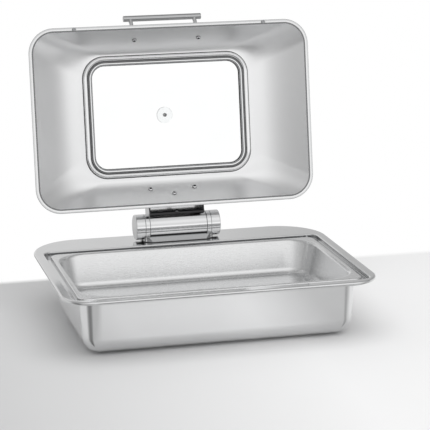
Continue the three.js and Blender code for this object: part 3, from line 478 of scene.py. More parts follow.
def left_of(a, b):
    return Vector((a.y - b.y, b.x - a.x)).normalized()


# Sheet steel from the profile of its lower or outer face
def sheet(name, vertices, steel, place=standing):
    profile = bend(vertices)
    flat = [Vector((shape[0] + out, height)) for shape, out, height in profile]
    last = len(flat) - 1
    other = []
    for i, (shape, out, height) in enumerate(profile):
        before = left_of(flat[max(i - 1, 0)], flat[max(i, 1)])
        after = left_of(flat[min(i, last - 1)], flat[min(i + 1, last)])
        shift = (before + after) * steel / (1 + before.dot(after))
        other.append((shape, out + shift.x, height + shift.y))
    return loft(name, rings_of(profile + other[::-1]), True, place)


# A body of revolution about Z from (radius, height) points, and the same along X
def turned(name, points, sides, place):
    verts = []
    rows = []
    for radius, height in points:
        start = len(verts)
        if radius < AXIS_RADIUS:
            verts.append((0, 0, height))
            rows.append([start])
            continue
        for i in range(sides):
            angle = 2 * math.pi * i / sides
            verts.append((radius * math.cos(angle), radius * math.sin(angle), height))
        rows.append(list(range(start, start + sides)))
    faces = []
    for low, high in zip(rows, rows[1:]):
        for i in range(sides):
            following = (i + 1) % sides
            corners = [low[i % len(low)], low[following % len(low)]]
            corners += [high[following % len(high)], high[i % len(high)]]
            face = tuple(dict.fromkeys(corners))
            if len(face) > 2:
                faces.append(face)
    return mesh_object(name, verts, faces, place)


def turned_along_x(name, points, sides=BARREL_SIDES, place=at_hinge):
    return turned(name, points, sides, lambda point: place(Vector((point.z, point.y, -point.x))))


def rectangle(left, right, low, high):
    return [(left, low), (right, low), (right, high), (left, high)]


def rod(radius, low, high):
    return rectangle(0, radius, low, high)


# The side of a body of revolution, chamfered at both ends
def chamfered_side(radius, chamfer, low, high):
    near = radius - chamfer
    return [(near, low), (radius, low + chamfer), (radius, high - chamfer), (near, high)]


def arc(radius, from_degrees, to_degrees, centre=(0, 0), steps=BEND_STEPS):
    points = []
    for step in range(steps + 1):
        angle = math.radians(from_degrees + (to_degrees - from_degrees) * step / steps)
        points.append((centre[0] + radius * math.cos(angle), centre[1] + radius * math.sin(angle)))
    return points


# Points (toward the front, up) about the hinge's axis as (Y, Z)
def around_hinge(points):
    return [(HINGE_Y - ahead, HINGE_HEIGHT + up) for ahead, up in points]


def prism(name, ends, place):
    count = len(ends[0])
    faces = [tuple(range(count)), tuple(range(2 * count - 1, count - 1, -1))]
    for i in range(count):
        following = (i + 1) % count
        faces.append((i, following, count + following, count + i))
    return mesh_object(name, ends[0] + ends[1], faces, place)


# An outline in the Y and Z plane, extruded along X
def extruded(name, outline, start, end, place=standing):
    return prism(name, [[(x, y, z) for y, z in outline] for x in (start, end)], place)


# An outline in the X and Y plane, raised along Z
def column(name, outline, low, high):
    return prism(name, [[(x, y, z) for x, y in outline] for z in (low, high)], standing)


def aimed(origin, direction, place):
    turn = Vector((0, 0, 1)).rotation_difference(Vector(direction)).to_matrix()
    return lambda point: place(turn @ point + Vector(origin))


# Materials: the scales of their noise, the ranges of its values that count, the depth of the grain
# in metres, and how dark shaded patches and films are
GRAIN_SCALE = 60
WIPING_SCALE = 9
SHADE_SCALE = 3.2
DUST_SCALE = 14
SMEAR_SCALE = 7
GRAIN_RANGE = (0.3, 0.7)
WIPING_RANGE = (0.48, 0.72)
RUBBED_RANGE = (0.53, 0.62)
SHADE_RANGE = (0.12, 0.4)
DUST_RANGE = (0.45, 0.75)
FILM_RANGE = (0.4, 0.7)
GRAIN_DEPTH = 0.0002
SOFT_GRAIN_DEPTH = 0.0003
SOFT_SPREAD = 0.06
SHADE_SHARE = 0.95
FILM_SHARE = 0.985


# Sets inputs of a node, each to a value or to another node's output
def feed(tree, node, inputs):
    for name, value in inputs.items():
        if isinstance(value, bpy.types.NodeSocket):
            tree.links.new(value, node.inputs[name])
        else:
            node.inputs[name].default_value = value


def add_node(tree, kind, inputs=None, **settings):
    node = tree.nodes.new("ShaderNode" + kind)
    for name, setting in settings.items():
        setattr(node, name, setting)
    feed(tree, node, inputs or {})
    return node


def opaque(color):
    return (*color, 1) if isinstance(color, tuple) else color


def shader(name, color, roughness, metallic):
    material = bpy.data.materials.new(name)
    material.use_nodes = True
    tree = material.node_tree
    principled = tree.nodes["Principled BSDF"]
    inputs = {"Base Color": opaque(color), "Roughness": roughness, "Metallic": metallic}
    feed(tree, principled, inputs)
    return material, tree, principled


def noise(tree, scale, detail, stretch=(1, 1, 1)):
    place = add_node(tree, "TexCoord").outputs["Object"]
    mapping = add_node(tree, "Mapping", {"Vector": place, "Scale": stretch})
    inputs = {"Vector": mapping.outputs["Vector"], "Scale": scale, "Detail": detail}
    return add_node(tree, "TexNoise", inputs).outputs[0]


def remap(tree, value, low, high, to_low, to_high):
    names = ("Value", "From Min", "From Max", "To Min", "To Max")
    inputs = dict(zip(names, (value, low, high, to_low, to_high)))
    return add_node(tree, "MapRange", inputs).outputs[0]


def combine(tree, operation, first, second):
    return add_node(tree, "Math", {0: first, 1: second}, operation=operation).outputs[0]


# The first colour at share 0, the second at 1. A Mix node takes its colours at inputs 6 and 7
def tint(tree, share, first, second, blend="MIX"):
    inputs = {0: share, 6: opaque(first), 7: opaque(second)}
    return add_node(tree, "Mix", inputs, data_type="RGBA", blend_type=blend).outputs[2]


def bumps(tree, height, strength, distance):
    inputs = {"Height": height, "Strength": strength, "Distance": distance}
    return add_node(tree, "Bump", inputs).outputs["Normal"]


# Steel with a fine grain along one way, faint wiping marks and brighter, rubbed edges. Spread is
# how far the roughness varies, and stretch is the grain's fineness along X, Y and Z
def steel(name, color, roughness, spread, stretch, bump, marks=0.03):
    material, tree, principled = shader(name, color, roughness, 1)
    grain = noise(tree, GRAIN_SCALE, 3, stretch)
    wiping = noise(tree, WIPING_SCALE, 4)
    broad = noise(tree, SHADE_SCALE, 1)
    fine = remap(tree, grain, *GRAIN_RANGE, roughness - spread, roughness + spread)
    worn = remap(tree, wiping, *WIPING_RANGE, 0, marks)
    edge = add_node(tree, "NewGeometry").outputs["Pointiness"]
    rubbed = remap(tree, edge, *RUBBED_RANGE, 0, spread)
    rough = combine(tree, "SUBTRACT", combine(tree, "ADD", fine, worn), rubbed)
    dark = tuple(SHADE_SHARE * channel for channel in color)
    shade = remap(tree, combine(tree, "MULTIPLY", broad, wiping), *SHADE_RANGE, 0, 1)
    inputs = {"Base Color": tint(tree, shade, dark, color), "Roughness": rough}
    feed(tree, principled, inputs | {"Normal": bumps(tree, grain, bump, GRAIN_DEPTH)})
    return material


SATIN = steel("satin_steel_look", (0.87, 0.873, 0.877), 0.32, 0.015, (1, 14, 14), 0.006, 0.01)
SATIN_PAN = steel("satin_pan_look", (0.79, 0.793, 0.797), 0.26, 0.02, (1, 14, 14), 0.008, 0.01)
POLISHED = steel("polished_steel_look", (0.82, 0.823, 0.827), 0.11, 0.02, (1, 16, 16), 0.01)
BRIGHT = steel("bright_trim_look", (0.74, 0.743, 0.747), 0.12, 0.015, (1, 10, 10), 0.003)
MIRROR = steel("mirror_steel_look", (0.74, 0.743, 0.748), 0.055, 0.015, (1, 18, 18), 0.006, 0.012)
# Dark steel for the handle bar, also used for the painted shade up the water pan's groove wall
GRIP_AND_GROOVE_SHADE = steel("grip_steel_and_groove_shade_look", (0.5, 0.503, 0.508), 0.1, 0.02, (1, 18, 18), 0.01)
HEM = steel("hem_steel_look", (0.71, 0.713, 0.716), 0.13, 0.02, (1, 10, 10), 0.01)
ROLLED = steel("rolled_edge_look", (0.6, 0.603, 0.607), 0.16, 0.02, (1, 10, 10), 0.01)
# Dark steel for painted shade in creases: the lid's crease line and the screw heads' edges
CREASE_SHADE = steel("crease_shade_look", (0.2, 0.202, 0.205), 0.3, 0.05, (12, 12, 12), 0.03)
# Dark steel for the hinge foot: painted dark reflections on its chrome
FOOT_PAINTED_REFLECTION = steel("foot_painted_reflection_look", (0.36, 0.363, 0.368), 0.1, 0.02, (1, 18, 18), 0.01)
# Dark steel for the painted shade in the window trims' valleys, and for the vent eyelet
VALLEY_SHADE_AND_EYELET = steel("valley_shade_and_eyelet_look", (0.16, 0.162, 0.164), 0.35, 0.05, (12, 12, 12), 0.03)
SCREW = steel("screw_steel_look", (0.74, 0.743, 0.75), 0.12, 0.05, (12, 12, 12), 0.04)
SPRING = steel("spring_steel_look", (0.42, 0.43, 0.44), 0.38, 0.06, (12, 12, 12), 0.08)
FERRITIC = steel("ferritic_steel_look", (0.60, 0.60, 0.61), 0.42, 0.06, (14, 14, 1), 0.08)
BRONZE = steel("bronze_look", (0.62, 0.42, 0.2), 0.38, 0.06, (14, 14, 14), 0.06)


def soft(name, color, dusted, roughness, grain_scale, bump):
    material, tree, principled = shader(name, color, roughness, 0)
    grain = noise(tree, grain_scale, 4)
    dust = noise(tree, DUST_SCALE, 3)
    rough = remap(tree, grain, *GRAIN_RANGE, roughness - SOFT_SPREAD, roughness + SOFT_SPREAD)
    patches = remap(tree, dust, *DUST_RANGE, 0, 1)
    inputs = {"Base Color": tint(tree, patches, color, dusted), "Roughness": rough}
    feed(tree, principled, inputs | {"Normal": bumps(tree, grain, bump, SOFT_GRAIN_DEPTH)})
    return material


# Black rubber for the gasket and the pad under the base, also used for painted shade lines at the
# trims and under the barrel
BLACK_RUBBER_AND_SHADE = soft("black_rubber_and_shade_look", (0.012, 0.012, 0.013), (0.03, 0.03, 0.032), 0.6, 700, 0.2)
GREY_SILICONE = soft(
    "grey_silicone_look", (0.27, 0.274, 0.28), (0.34, 0.344, 0.35), 0.55, 600, 0.12
)
# Black plastic for the damper and the thrust rings, also used for painted shade in the bracket's
# pocket and the screw sockets
BLACK_PLASTIC_AND_SHADE = soft(
    "black_plastic_and_shade_look", (0.015, 0.015, 0.017), (0.03, 0.03, 0.033), 0.45, 500, 0.12
)


def clear(name, color, roughness, index, haze):
    material, tree, principled = shader(name, color, roughness, 0)
    smears = noise(tree, SMEAR_SCALE, 3)
    rough = remap(tree, smears, *DUST_RANGE, roughness, roughness + haze)
    faint = tuple(FILM_SHARE * channel for channel in color)
    film = remap(tree, smears, *FILM_RANGE, 0, 1)
    inputs = {"Base Color": tint(tree, film, color, faint), "Roughness": rough}
    feed(tree, principled, inputs | {"Transmission Weight": 1, "IOR": index})
    return material


GLASS = clear("glass_look", (0.985, 0.992, 0.99), 0.0, 1.5, 0.02)
CLEAR_SILICONE = clear("clear_silicone_look", (0.96, 0.965, 0.967), 0.03, 1.41, 0.05)


# Standing pieces
def make_water_pan():
    skirt_foot = RIM_HEIGHT - RIM_SKIRT + TUB_STEEL
    under_rim = RIM_HEIGHT - TUB_STEEL
    vertices = [
        (TUB_PLAN, -TUB_DRAFT - 2 * TUB_FLOOR_BEND, PLATE_THICKNESS, 0, 0),
        (TUB_PLAN, -TUB_DRAFT, PLATE_THICKNESS, TUB_FLOOR_BEND, FLOOR_BEND_STEPS),
        (TUB_PLAN, 0, LEDGE_HEIGHT - TUB_STEEL, TUB_LEDGE_BEND, BEND_STEPS),
        (GROOVE_PLAN, TUB_STEEL, LEDGE_HEIGHT - TUB_STEEL, GROOVE_FLOOR_BEND, BEND_STEPS),
        (GROOVE_PLAN, TUB_STEEL, under_rim, GROOVE_TOP_BEND, BEND_STEPS),
        (RIM_PLAN, -TUB_STEEL, under_rim, RIM_EDGE_BEND, BEND_STEPS),
        (RIM_PLAN, -TUB_STEEL, skirt_foot, RIM_RETURN_BEND, BEND_STEPS),
        (RIM_PLAN, -RIM_RETURN, skirt_foot, 0, 0),
    ]
    pan = sheet("pan_of_water", vertices, TUB_STEEL)

    # Brighter bands round the rim's edge on both faces, and darker ones up the groove's inner wall:
    # painted shade in the groove
    starts = [sum(steps + 1 for *_, steps in vertices[:i]) for i in range(len(vertices))]
    last = 2 * len(bend(vertices)) - 1
    groove_foot, groove_top, rim_edge = starts[3:6]
    edge = rim_edge + 2
    wall_foot = groove_foot + BEND_STEPS // 2
    wall_top = groove_top + BEND_STEPS // 2 - 1
    mark_bands(
        pan,
        RING_POINTS,
        POLISHED,
        (BRIGHT, range(edge, last - edge)),
        (GRIP_AND_GROOVE_SHADE, range(last - wall_top, last - wall_foot)),
    )
    show(pan, "base", ["water_pan"], POLISHED)
    foot = grow(TUB_PLAN, -TUB_DRAFT - TUB_FLOOR_BEND - PLATE_INSET)
    rings = [
        ring(grow(foot, -PLATE_CHAMFER), 0),
        ring(foot, PLATE_CHAMFER),
        ring(foot, PLATE_THICKNESS),
    ]
    under = loft("plate_under_tub", rings, True)
    show(under, "base", ["induction_plate"], FERRITIC)


def make_food_pan():
    vertices = [
        (PAN_MOUTH_PLAN, -PAN_DRAFT - 2 * PAN_FLOOR_BEND, PAN_FLOOR_HEIGHT, 0, 0),
        (PAN_MOUTH_PLAN, -PAN_DRAFT, PAN_FLOOR_HEIGHT, PAN_FLOOR_BEND, FLOOR_BEND_STEPS),
        (PAN_MOUTH_PLAN, PAN_STEEL, PAN_TOP_HEIGHT - PAN_STEEL, PAN_MOUTH_BEND, BEND_STEPS),
        (PAN_FLANGE_PLAN, -PAN_STEEL, PAN_TOP_HEIGHT - PAN_STEEL, PAN_LIP_BEND, BEND_STEPS),
        (PAN_FLANGE_PLAN, -PAN_STEEL, PAN_TOP_HEIGHT - PAN_LIP, 0, 0),
    ]
    pan = sheet("pan_of_food", vertices, PAN_STEEL)
    show(pan, "food_pan", ["food_pan"], SATIN_PAN)


def make_base():
    floor = RIM_HEIGHT + BASE_PAD
    fold_reach = BASE_REACH * BASE_FOLD_REACH_SHARE
    shoulder_reach = BASE_REACH * BASE_SHOULDER_REACH_SHARE
    slope = [
        (BASE_REACH, floor),
        (BASE_REACH, floor + BASE_TOE),
        (fold_reach, floor + BASE_FOLD),
        (shoulder_reach, floor + BASE_SHOULDER),
    ]
    profile = [(HINGE_Y + reach, height) for reach, height in slope]
    profile += [(HINGE_Y - reach, height) for reach, height in slope[::-1]]
    half = BASE_LENGTH / 2
    near = BASE_REACH - BASE_CORNER_WIDTH
    side = half - BASE_CORNER_LENGTH
    front = [(-half, -near), (-side, -BASE_REACH), (side, -BASE_REACH), (half, -near)]
    outline = [(x, HINGE_Y + y) for x, y in front]
    outline += [(x, HINGE_Y - y) for x, y in front[::-1]]
    foot = extruded("hinge_foot", profile, -half - CUT_OVERRUN, half + CUT_OVERRUN)
    bound = column("bound", outline, floor - CUT_OVERRUN, floor + BASE_SHOULDER + CUT_OVERRUN)
    carve(foot, [bound], "INTERSECT")
    room = rod(BARREL_RADIUS + BASE_CLEARANCE, -EAR_START, EAR_START)
    carve(foot, [turned_along_x("room", room)])
    rooms = []
    for low, high in ((EAR_END, half + CUT_OVERRUN), (-half - CUT_OVERRUN, -EAR_END)):
        shape = rod(BARREL_RADIUS + FIT_GAP, low, high)
        rooms.append(turned_along_x("room", shape))
    carve(foot, rooms)
    round_edges(foot)
    # The foot's dark steel is a painted reflection
    show(foot, "base", ["hinge_base"], FOOT_PAINTED_REFLECTION)
    for name, start, end in (("left", -EAR_END, -EAR_START), ("right", EAR_START, EAR_END)):
        side = chamfered_side(BARREL_RADIUS, EDGE_ROUND, start, end)
        points = [(0, start), *side, (0, end)]
        ear = turned_along_x(f"ear_ring_{name}", points)
        show(ear, "base", ["hinge_base"], MIRROR)
        low = floor + EDGE_ROUND
        high = HINGE_HEIGHT - BARREL_RADIUS / 2
        corners = rectangle(HINGE_Y - shoulder_reach, HINGE_Y + shoulder_reach, low, high)
        web = round_edges(extruded(f"ear_web_{name}", corners, start, end))
        show(web, "base", ["hinge_base"], MIRROR)
    pad = column("pad_under_base", outline, RIM_HEIGHT, floor)
    show(pad, "base", ["hinge_base_pad"], BLACK_RUBBER_AND_SHADE)


def make_end_caps():
    for name, side in SIDES:
        end = CAP_START + CAP_LENGTH
        inner = BARREL_RADIUS - CAP_WALL
        points = [(0, end - CAP_WALL), (inner, end - CAP_WALL), (inner, CAP_START)]
        points.append((BARREL_RADIUS - BARREL_CHAMFER, CAP_START))
        points.append((BARREL_RADIUS, CAP_START + BARREL_CHAMFER))
        centre = (BARREL_RADIUS - CAP_ROUND, end - CAP_ROUND)
        points += arc(CAP_ROUND, 0, 90, centre)
        points.append((0, end))
        placed = [(radius, side * height) for radius, height in points]
        cap = turned_along_x(f"cap_{name}", placed)
        mark_faces(cap, MIRROR, ROLLED, lambda centre, normal: abs(normal.x) > CAP_FACE_SHARE)
        show(cap, "base", [f"hinge_end_cap_{name}"], MIRROR)


# The closed lid's dome, from the band (share 0) to the window frame (share 1)
SIDE_RUN = DOME_PLAN[0] - FRAME_PLAN[0]
END_RUN = DOME_PLAN[2] - FRAME_PLAN[2]
MEAN_RUN = math.sqrt(SIDE_RUN * END_RUN)


def dome_slope(share, run):
    return math.atan(DOME_HEIGHT * math.pi / 2 * math.cos(share * math.pi / 2) / run)


def dome_point(share, rise):
    slope = dome_slope(share, MEAN_RUN)
    shape = tuple(low + (high - low) * share for low, high in zip(DOME_PLAN, FRAME_PLAN))
    height = LID_SEAT_HEIGHT + DOME_HEIGHT * math.sin(share * math.pi / 2)
    return (shape, rise * math.sin(slope), height + rise * math.cos(slope))


def wall_point(share, rise, side):
    shape, out, height = dome_point(share, rise)
    reach = shape[2] if side > 0 else shape[1]
    return Vector((0, side * (reach + out), height))


def wall_normal(share, side):
    slope = dome_slope(share, END_RUN)
    return Vector((0, side * math.sin(slope), math.cos(slope)))


def beside_wall(x, share, distance, side):
    return Vector((x, 0, 0)) + wall_point(share, 0, side) + wall_normal(share, side) * distance


def make_lid_shell():
    shares = [i / DOME_STEPS for i in range(DOME_STEPS + 1)]
    inner = [dome_point(share, 0) for share in shares]
    outer = [dome_point(share, LID_STEEL) for share in reversed(shares)]
    opening = on_plan(FRAME_PLAN, [(-FRAME_SEAT, 0), (-FRAME_SEAT, LID_STEEL)], WINDOW_HEIGHT)
    radius = HEM_THICKNESS / 2
    hem = [
        (-HEM_WIDTH - HEM_STEP, LID_STEEL),
        (-HEM_WIDTH, LID_STEEL + HEM_STEP_HEIGHT),
        (-HEM_WIDTH, HEM_THICKNESS - HEM_ROUND),
        (-HEM_WIDTH + HEM_ROUND, HEM_THICKNESS),
    ]
    hem_start = len(inner + opening + outer) - 1
    roll_start = hem_start + len(hem) + 1
    roll_end = roll_start + BEND_STEPS
    hem += [*arc(radius, 90, -90, (-radius, radius)), (-HEM_SEAT_INSET, 0)]
    shell = lid_loft("lid_dome", inner + opening + outer + on_plan(LID_PLAN, hem, LID_SEAT_HEIGHT))
    mark_bands(
        shell,
        RING_POINTS,
        SATIN,
        (HEM, [*range(hem_start, roll_start), roll_end + 1]),
        (ROLLED, range(roll_start, roll_end + 1)),
    )
    show(shell, "lid", ["lid_shell"], SATIN)

    # A painted shade line: a thin dark strip where the dome's wall meets its flat band
    crease = rectangle(-CREASE_INSET, CREASE_REACH, -CREASE_PROUD, CREASE_DEPTH)
    line = lid_loft("lid_crease_shade_line", on_plan(DOME_PLAN, crease, LID_SEAT_HEIGHT))
    show(line, "lid", [], CREASE_SHADE)


# The section of a window trim, as (distance out, height): flange, bead, valley and lip
def trim_section():
    section = [(0, FLANGE_HEIGHT), (-FLANGE_WIDTH, FLANGE_HEIGHT)]
    arch = BEAD_WIDTH - VALLEY_WIDTH - FLANGE_WIDTH
    for along, up in arc(1, 180, 0, steps=BEAD_STEPS):
        way = (1 + along) / 2
        foot = BEAD_EDGE + (VALLEY_HEIGHT - BEAD_EDGE) * way
        section.append((-FLANGE_WIDTH - arch * way, foot + (BEAD_HEIGHT - foot) * up))
    gasket_top = GLASS_THICKNESS / 2 + FIT_GAP + GASKET_LEG - LID_STEEL / 2
    under = gasket_top + FIT_GAP
    lip_top = max(LIP_HEIGHT, under + LID_STEEL)
    radius = (lip_top - under) / 2
    lip_end = BEAD_WIDTH + LIP_WIDTH
    section += [
        (-FLANGE_WIDTH - arch - VALLEY_DROP, VALLEY_HEIGHT - VALLEY_DROP),
        (-FRAME_SEAT + FIT_GAP, VALLEY_HEIGHT - VALLEY_DROP),
        (-FRAME_SEAT - LIP_BED_MARGIN, under + LIP_BED),
        (-BEAD_WIDTH + LIP_BED_MARGIN, under + LIP_BED),
        (-BEAD_WIDTH, under + LIP_FOOT),
        (-BEAD_WIDTH - LIP_LEAN, lip_top),
    ]
    section += arc(radius, 90, 180, (radius - lip_end, lip_top - radius))
    section += [(-lip_end, under), (-FRAME_SEAT, under), (-FRAME_SEAT, FIT_GAP), (0, FIT_GAP)]
    return section


# The valley's bands in that section, painted darker as painted shade, and the section of a thin
# black strip along the flange's outer edge, a painted shade line
VALLEY_SHADE_BANDS = range(BEAD_STEPS + 1, BEAD_STEPS + 6)
TRIM_SHADE_SECTION = ((-1.7, 0.05), (-1.7, 1.3), (-1.1, 1.3), (-0.4, 0.9), (0.1, 0.05))


def make_window():
    for name, base, away in (("inner", WINDOW_HEIGHT, -1), ("outer", WINDOW_HEIGHT + LID_STEEL, 1)):
        trim = lid_loft(f"trim_{name}", on_plan(FRAME_PLAN, trim_section(), base, away))
        mark_bands(trim, RING_POINTS, BRIGHT, (VALLEY_SHADE_AND_EYELET, VALLEY_SHADE_BANDS))
        show(trim, "lid", [f"window_trim_{name}"], BRIGHT, TRIM_SHARP_DEGREES)
        # A thin black strip along each trim's outer edge: a painted shade line
        edge = lid_loft(f"trim_shade_line_{name}", on_plan(FRAME_PLAN, TRIM_SHADE_SECTION, base, away))
        show(edge, "lid", [], BLACK_RUBBER_AND_SHADE)
    half_glass = GLASS_THICKNESS / 2
    half_slot = half_glass + FIT_GAP
    half_gasket = half_slot + GASKET_LEG
    gasket_edge = -FRAME_SEAT - FIT_GAP
    slot_edge = gasket_edge - GASKET_LEG
    mouth = gasket_edge - GASKET_WIDTH
    outer_mouth = mouth - GASKET_OUTER_REACH
    section = [(gasket_edge, -half_gasket), (gasket_edge, half_gasket)]
    section += [(outer_mouth, half_gasket), (outer_mouth, half_slot), (slot_edge, half_slot)]
    section += [(slot_edge, -half_slot), (mouth, -half_slot), (mouth, -half_gasket)]
    gasket = lid_loft("gasket", on_plan(FRAME_PLAN, section, GLASS_MIDDLE_HEIGHT))
    mark_bands(gasket, RING_POINTS, BLACK_RUBBER_AND_SHADE, (GREY_SILICONE, (1, len(section) - 1)))
    show(gasket, "lid", ["window_gasket"], BLACK_RUBBER_AND_SHADE)
    low = GLASS_MIDDLE_HEIGHT - half_glass
    high = GLASS_MIDDLE_HEIGHT + half_glass
    shape = grow(FRAME_PLAN, slot_edge - FIT_GAP)
    pane = loft("pane", [ring(shape, low), ring(shape, high)], True, opened)
    bore = rod(EYELET_RADIUS + FIT_GAP, -half_glass - CUT_OVERRUN, half_glass + CUT_OVERRUN)
    carve(pane, [turned("drill", bore, SCREW_SIDES, vent_place)])
    show(pane, "lid", ["window_glass"], GLASS)


def vent_place(point):
    return opened(point + Vector((VENT_OFFSET, 0, GLASS_MIDDLE_HEIGHT)))


def make_vent():
    face = GLASS_THICKNESS / 2 + FIT_GAP
    outside = face + VENT_WASHER_THICKNESS
    bore = EYELET_RADIUS + FIT_GAP
    edge = VENT_WASHER_RADIUS - VENT_WASHER_CHAMFER
    points = [(bore, face), (VENT_WASHER_RADIUS, face)]
    points += [(VENT_WASHER_RADIUS, outside - VENT_WASHER_CHAMFER), (edge, outside)]
    points += [(bore, outside), (bore, face)]
    for name, side in (("inner", -1), ("outer", 1)):
        placed = [(radius, side * height) for radius, height in points]
        washer = turned(f"washer_{name}", placed, BARREL_SIDES, vent_place)
        mark_bands(washer, BARREL_SIDES, CLEAR_SILICONE, (GREY_SILICONE, (1,)))
        show(washer, "lid", [f"vent_washer_{name}"], CLEAR_SILICONE)
    start = outside + FIT_GAP
    end = start + EYELET_FLANGE
    half = [
        (EYELET_RADIUS, start),
        (EYELET_FLANGE_RADIUS - EYELET_DRAFT, start),
        (EYELET_FLANGE_RADIUS, start + EYELET_EDGE),
        (EYELET_FLANGE_RADIUS - EYELET_CHAMFER, end),
        (EYELET_BORE_RADIUS, end),
    ]
    points = [(radius, -height) for radius, height in reversed(half)] + half
    eyelet = turned("eyelet", [*points, points[0]], SCREW_SIDES, vent_place)
    show(eyelet, "lid", ["vent_eyelet"], VALLEY_SHADE_AND_EYELET)


# Button-head screw about Z: the head's underside is at zero, the head above and the shank below.
# The bands round the head's edge are painted darker, a painted shade where the head meets the
# surface, and the socket is painted black, the shade in its depth
SCREW_EDGE_SHADE_BANDS = (3, 4, 5)


def button_screw(name, length, place):
    points = [(0, -length), (SCREW_RADIUS, -length), (SCREW_RADIUS, 0)]
    points.append((SCREW_HEAD_RADIUS - SCREW_HEAD_UNDERCUT, 0))
    for out, up in arc(1, 0, 90):
        points.append((SCREW_HEAD_RADIUS * out, SCREW_HEAD_HEIGHT * up))
    screw = turned(name, points, SCREW_SIDES, place)
    mark_bands(screw, SCREW_SIDES, SCREW, (CREASE_SHADE, SCREW_EDGE_SHADE_BANDS))
    floor = SCREW_HEAD_HEIGHT - SCREW_SOCKET_DEPTH
    cutter = rod(SCREW_SOCKET_RADIUS, floor, SCREW_HEAD_HEIGHT + CUT_OVERRUN)
    socket = turned("socket", cutter, SOCKET_SIDES, place)
    # The socket's faces take the black: painted shade in the socket
    socket.data.materials.append(BLACK_PLASTIC_AND_SHADE)
    return carve(screw, [socket], material_mode="TRANSFER")


def make_handle():
    normal = wall_normal(HANDLE_FOOT_SHARE, -1)
    foot = beside_wall(0, HANDLE_FOOT_SHARE, LID_STEEL + FIT_GAP, -1)
    centre = foot + normal * HANDLE_REACH
    half = HANDLE_LENGTH / 2
    near = half - HANDLE_CHAMFER
    right = arc(HANDLE_CHAMFER, 0, 90, (HANDLE_RADIUS - HANDLE_CHAMFER, near), CHAMFER_STEPS)
    left = [(radius, -height) for radius, height in reversed(right)]
    points = [(0, -half), *left, *right, (0, half)]
    bar = turned_along_x("grip_bar", points, ROD_SIDES, lambda point: opened(point + centre))
    show(bar, "lid", ["handle_bar"], GRIP_AND_GROOVE_SHADE)
    post = [(0, 0), (POST_FOOT_RADIUS - POST_FOOT_CHAMFER, 0)]
    post.append((POST_FOOT_RADIUS, POST_FOOT_CHAMFER))
    for across, up in arc(1, 0, 90, steps=FLARE_STEPS):
        radius = POST_RADIUS + (POST_FOOT_RADIUS - POST_RADIUS) * (1 - up)
        post.append((radius, POST_FOOT_HEIGHT + POST_FOOT_FLARE * (1 - across)))
    top = HANDLE_REACH - HANDLE_RADIUS / 2
    post += [(POST_RADIUS, top), (0, top)]
    length = HEAD_GAP + LID_STEEL + HANDLE_SCREW_BITE
    for name, side in SIDES:
        x = side * (half - POST_INSET)
        place = aimed((x, foot.y, foot.z), normal, opened)
        stand = turned(f"grip_post_{name}", post, ROD_SIDES, place)
        show(stand, "lid", [f"handle_post_{name}"], BRIGHT)
        origin = beside_wall(x, HANDLE_FOOT_SHARE, -HEAD_GAP, -1)
        screw = button_screw(f"grip_screw_{name}", length, aimed(origin, -normal, opened))
        show(screw, "lid", [f"handle_screw_{name}"], SCREW)


def make_bumpers():
    top = LID_SEAT_HEIGHT - FIT_GAP
    low = top - BUMPER_HEIGHT
    centre = (BUMPER_RADIUS - BUMPER_ROUND, low + BUMPER_ROUND)
    rounding = arc(BUMPER_ROUND, 0, -90, centre)
    points = [(0, top), (BUMPER_RADIUS, top), *rounding, (0, low)]
    y = -LID_PLAN[1] + BUMPER_RADIUS
    for name, side in SIDES:
        shift = Vector((side * (LID_PLAN[0] - BUMPER_INSET), y, 0))
        pad = turned(f"bumper_{name}", points, SCREW_SIDES, lambda point: opened(point + shift))
        show(pad, "lid", [f"lid_bumper_{name}"], GREY_SILICONE)


def wall_share_at(height, rise):
    low, high = 0, 1
    for _ in range(HALVINGS):
        middle = (low + high) / 2
        if wall_point(middle, rise, 1).z < height:
            low = middle
        else:
            high = middle
    return low


def wall_line(from_share, to_share, rise):
    shares = [from_share + (to_share - from_share) * i / WALL_STEPS for i in range(WALL_STEPS + 1)]
    return [tuple(wall_point(share, rise, 1))[1:] for share in shares]


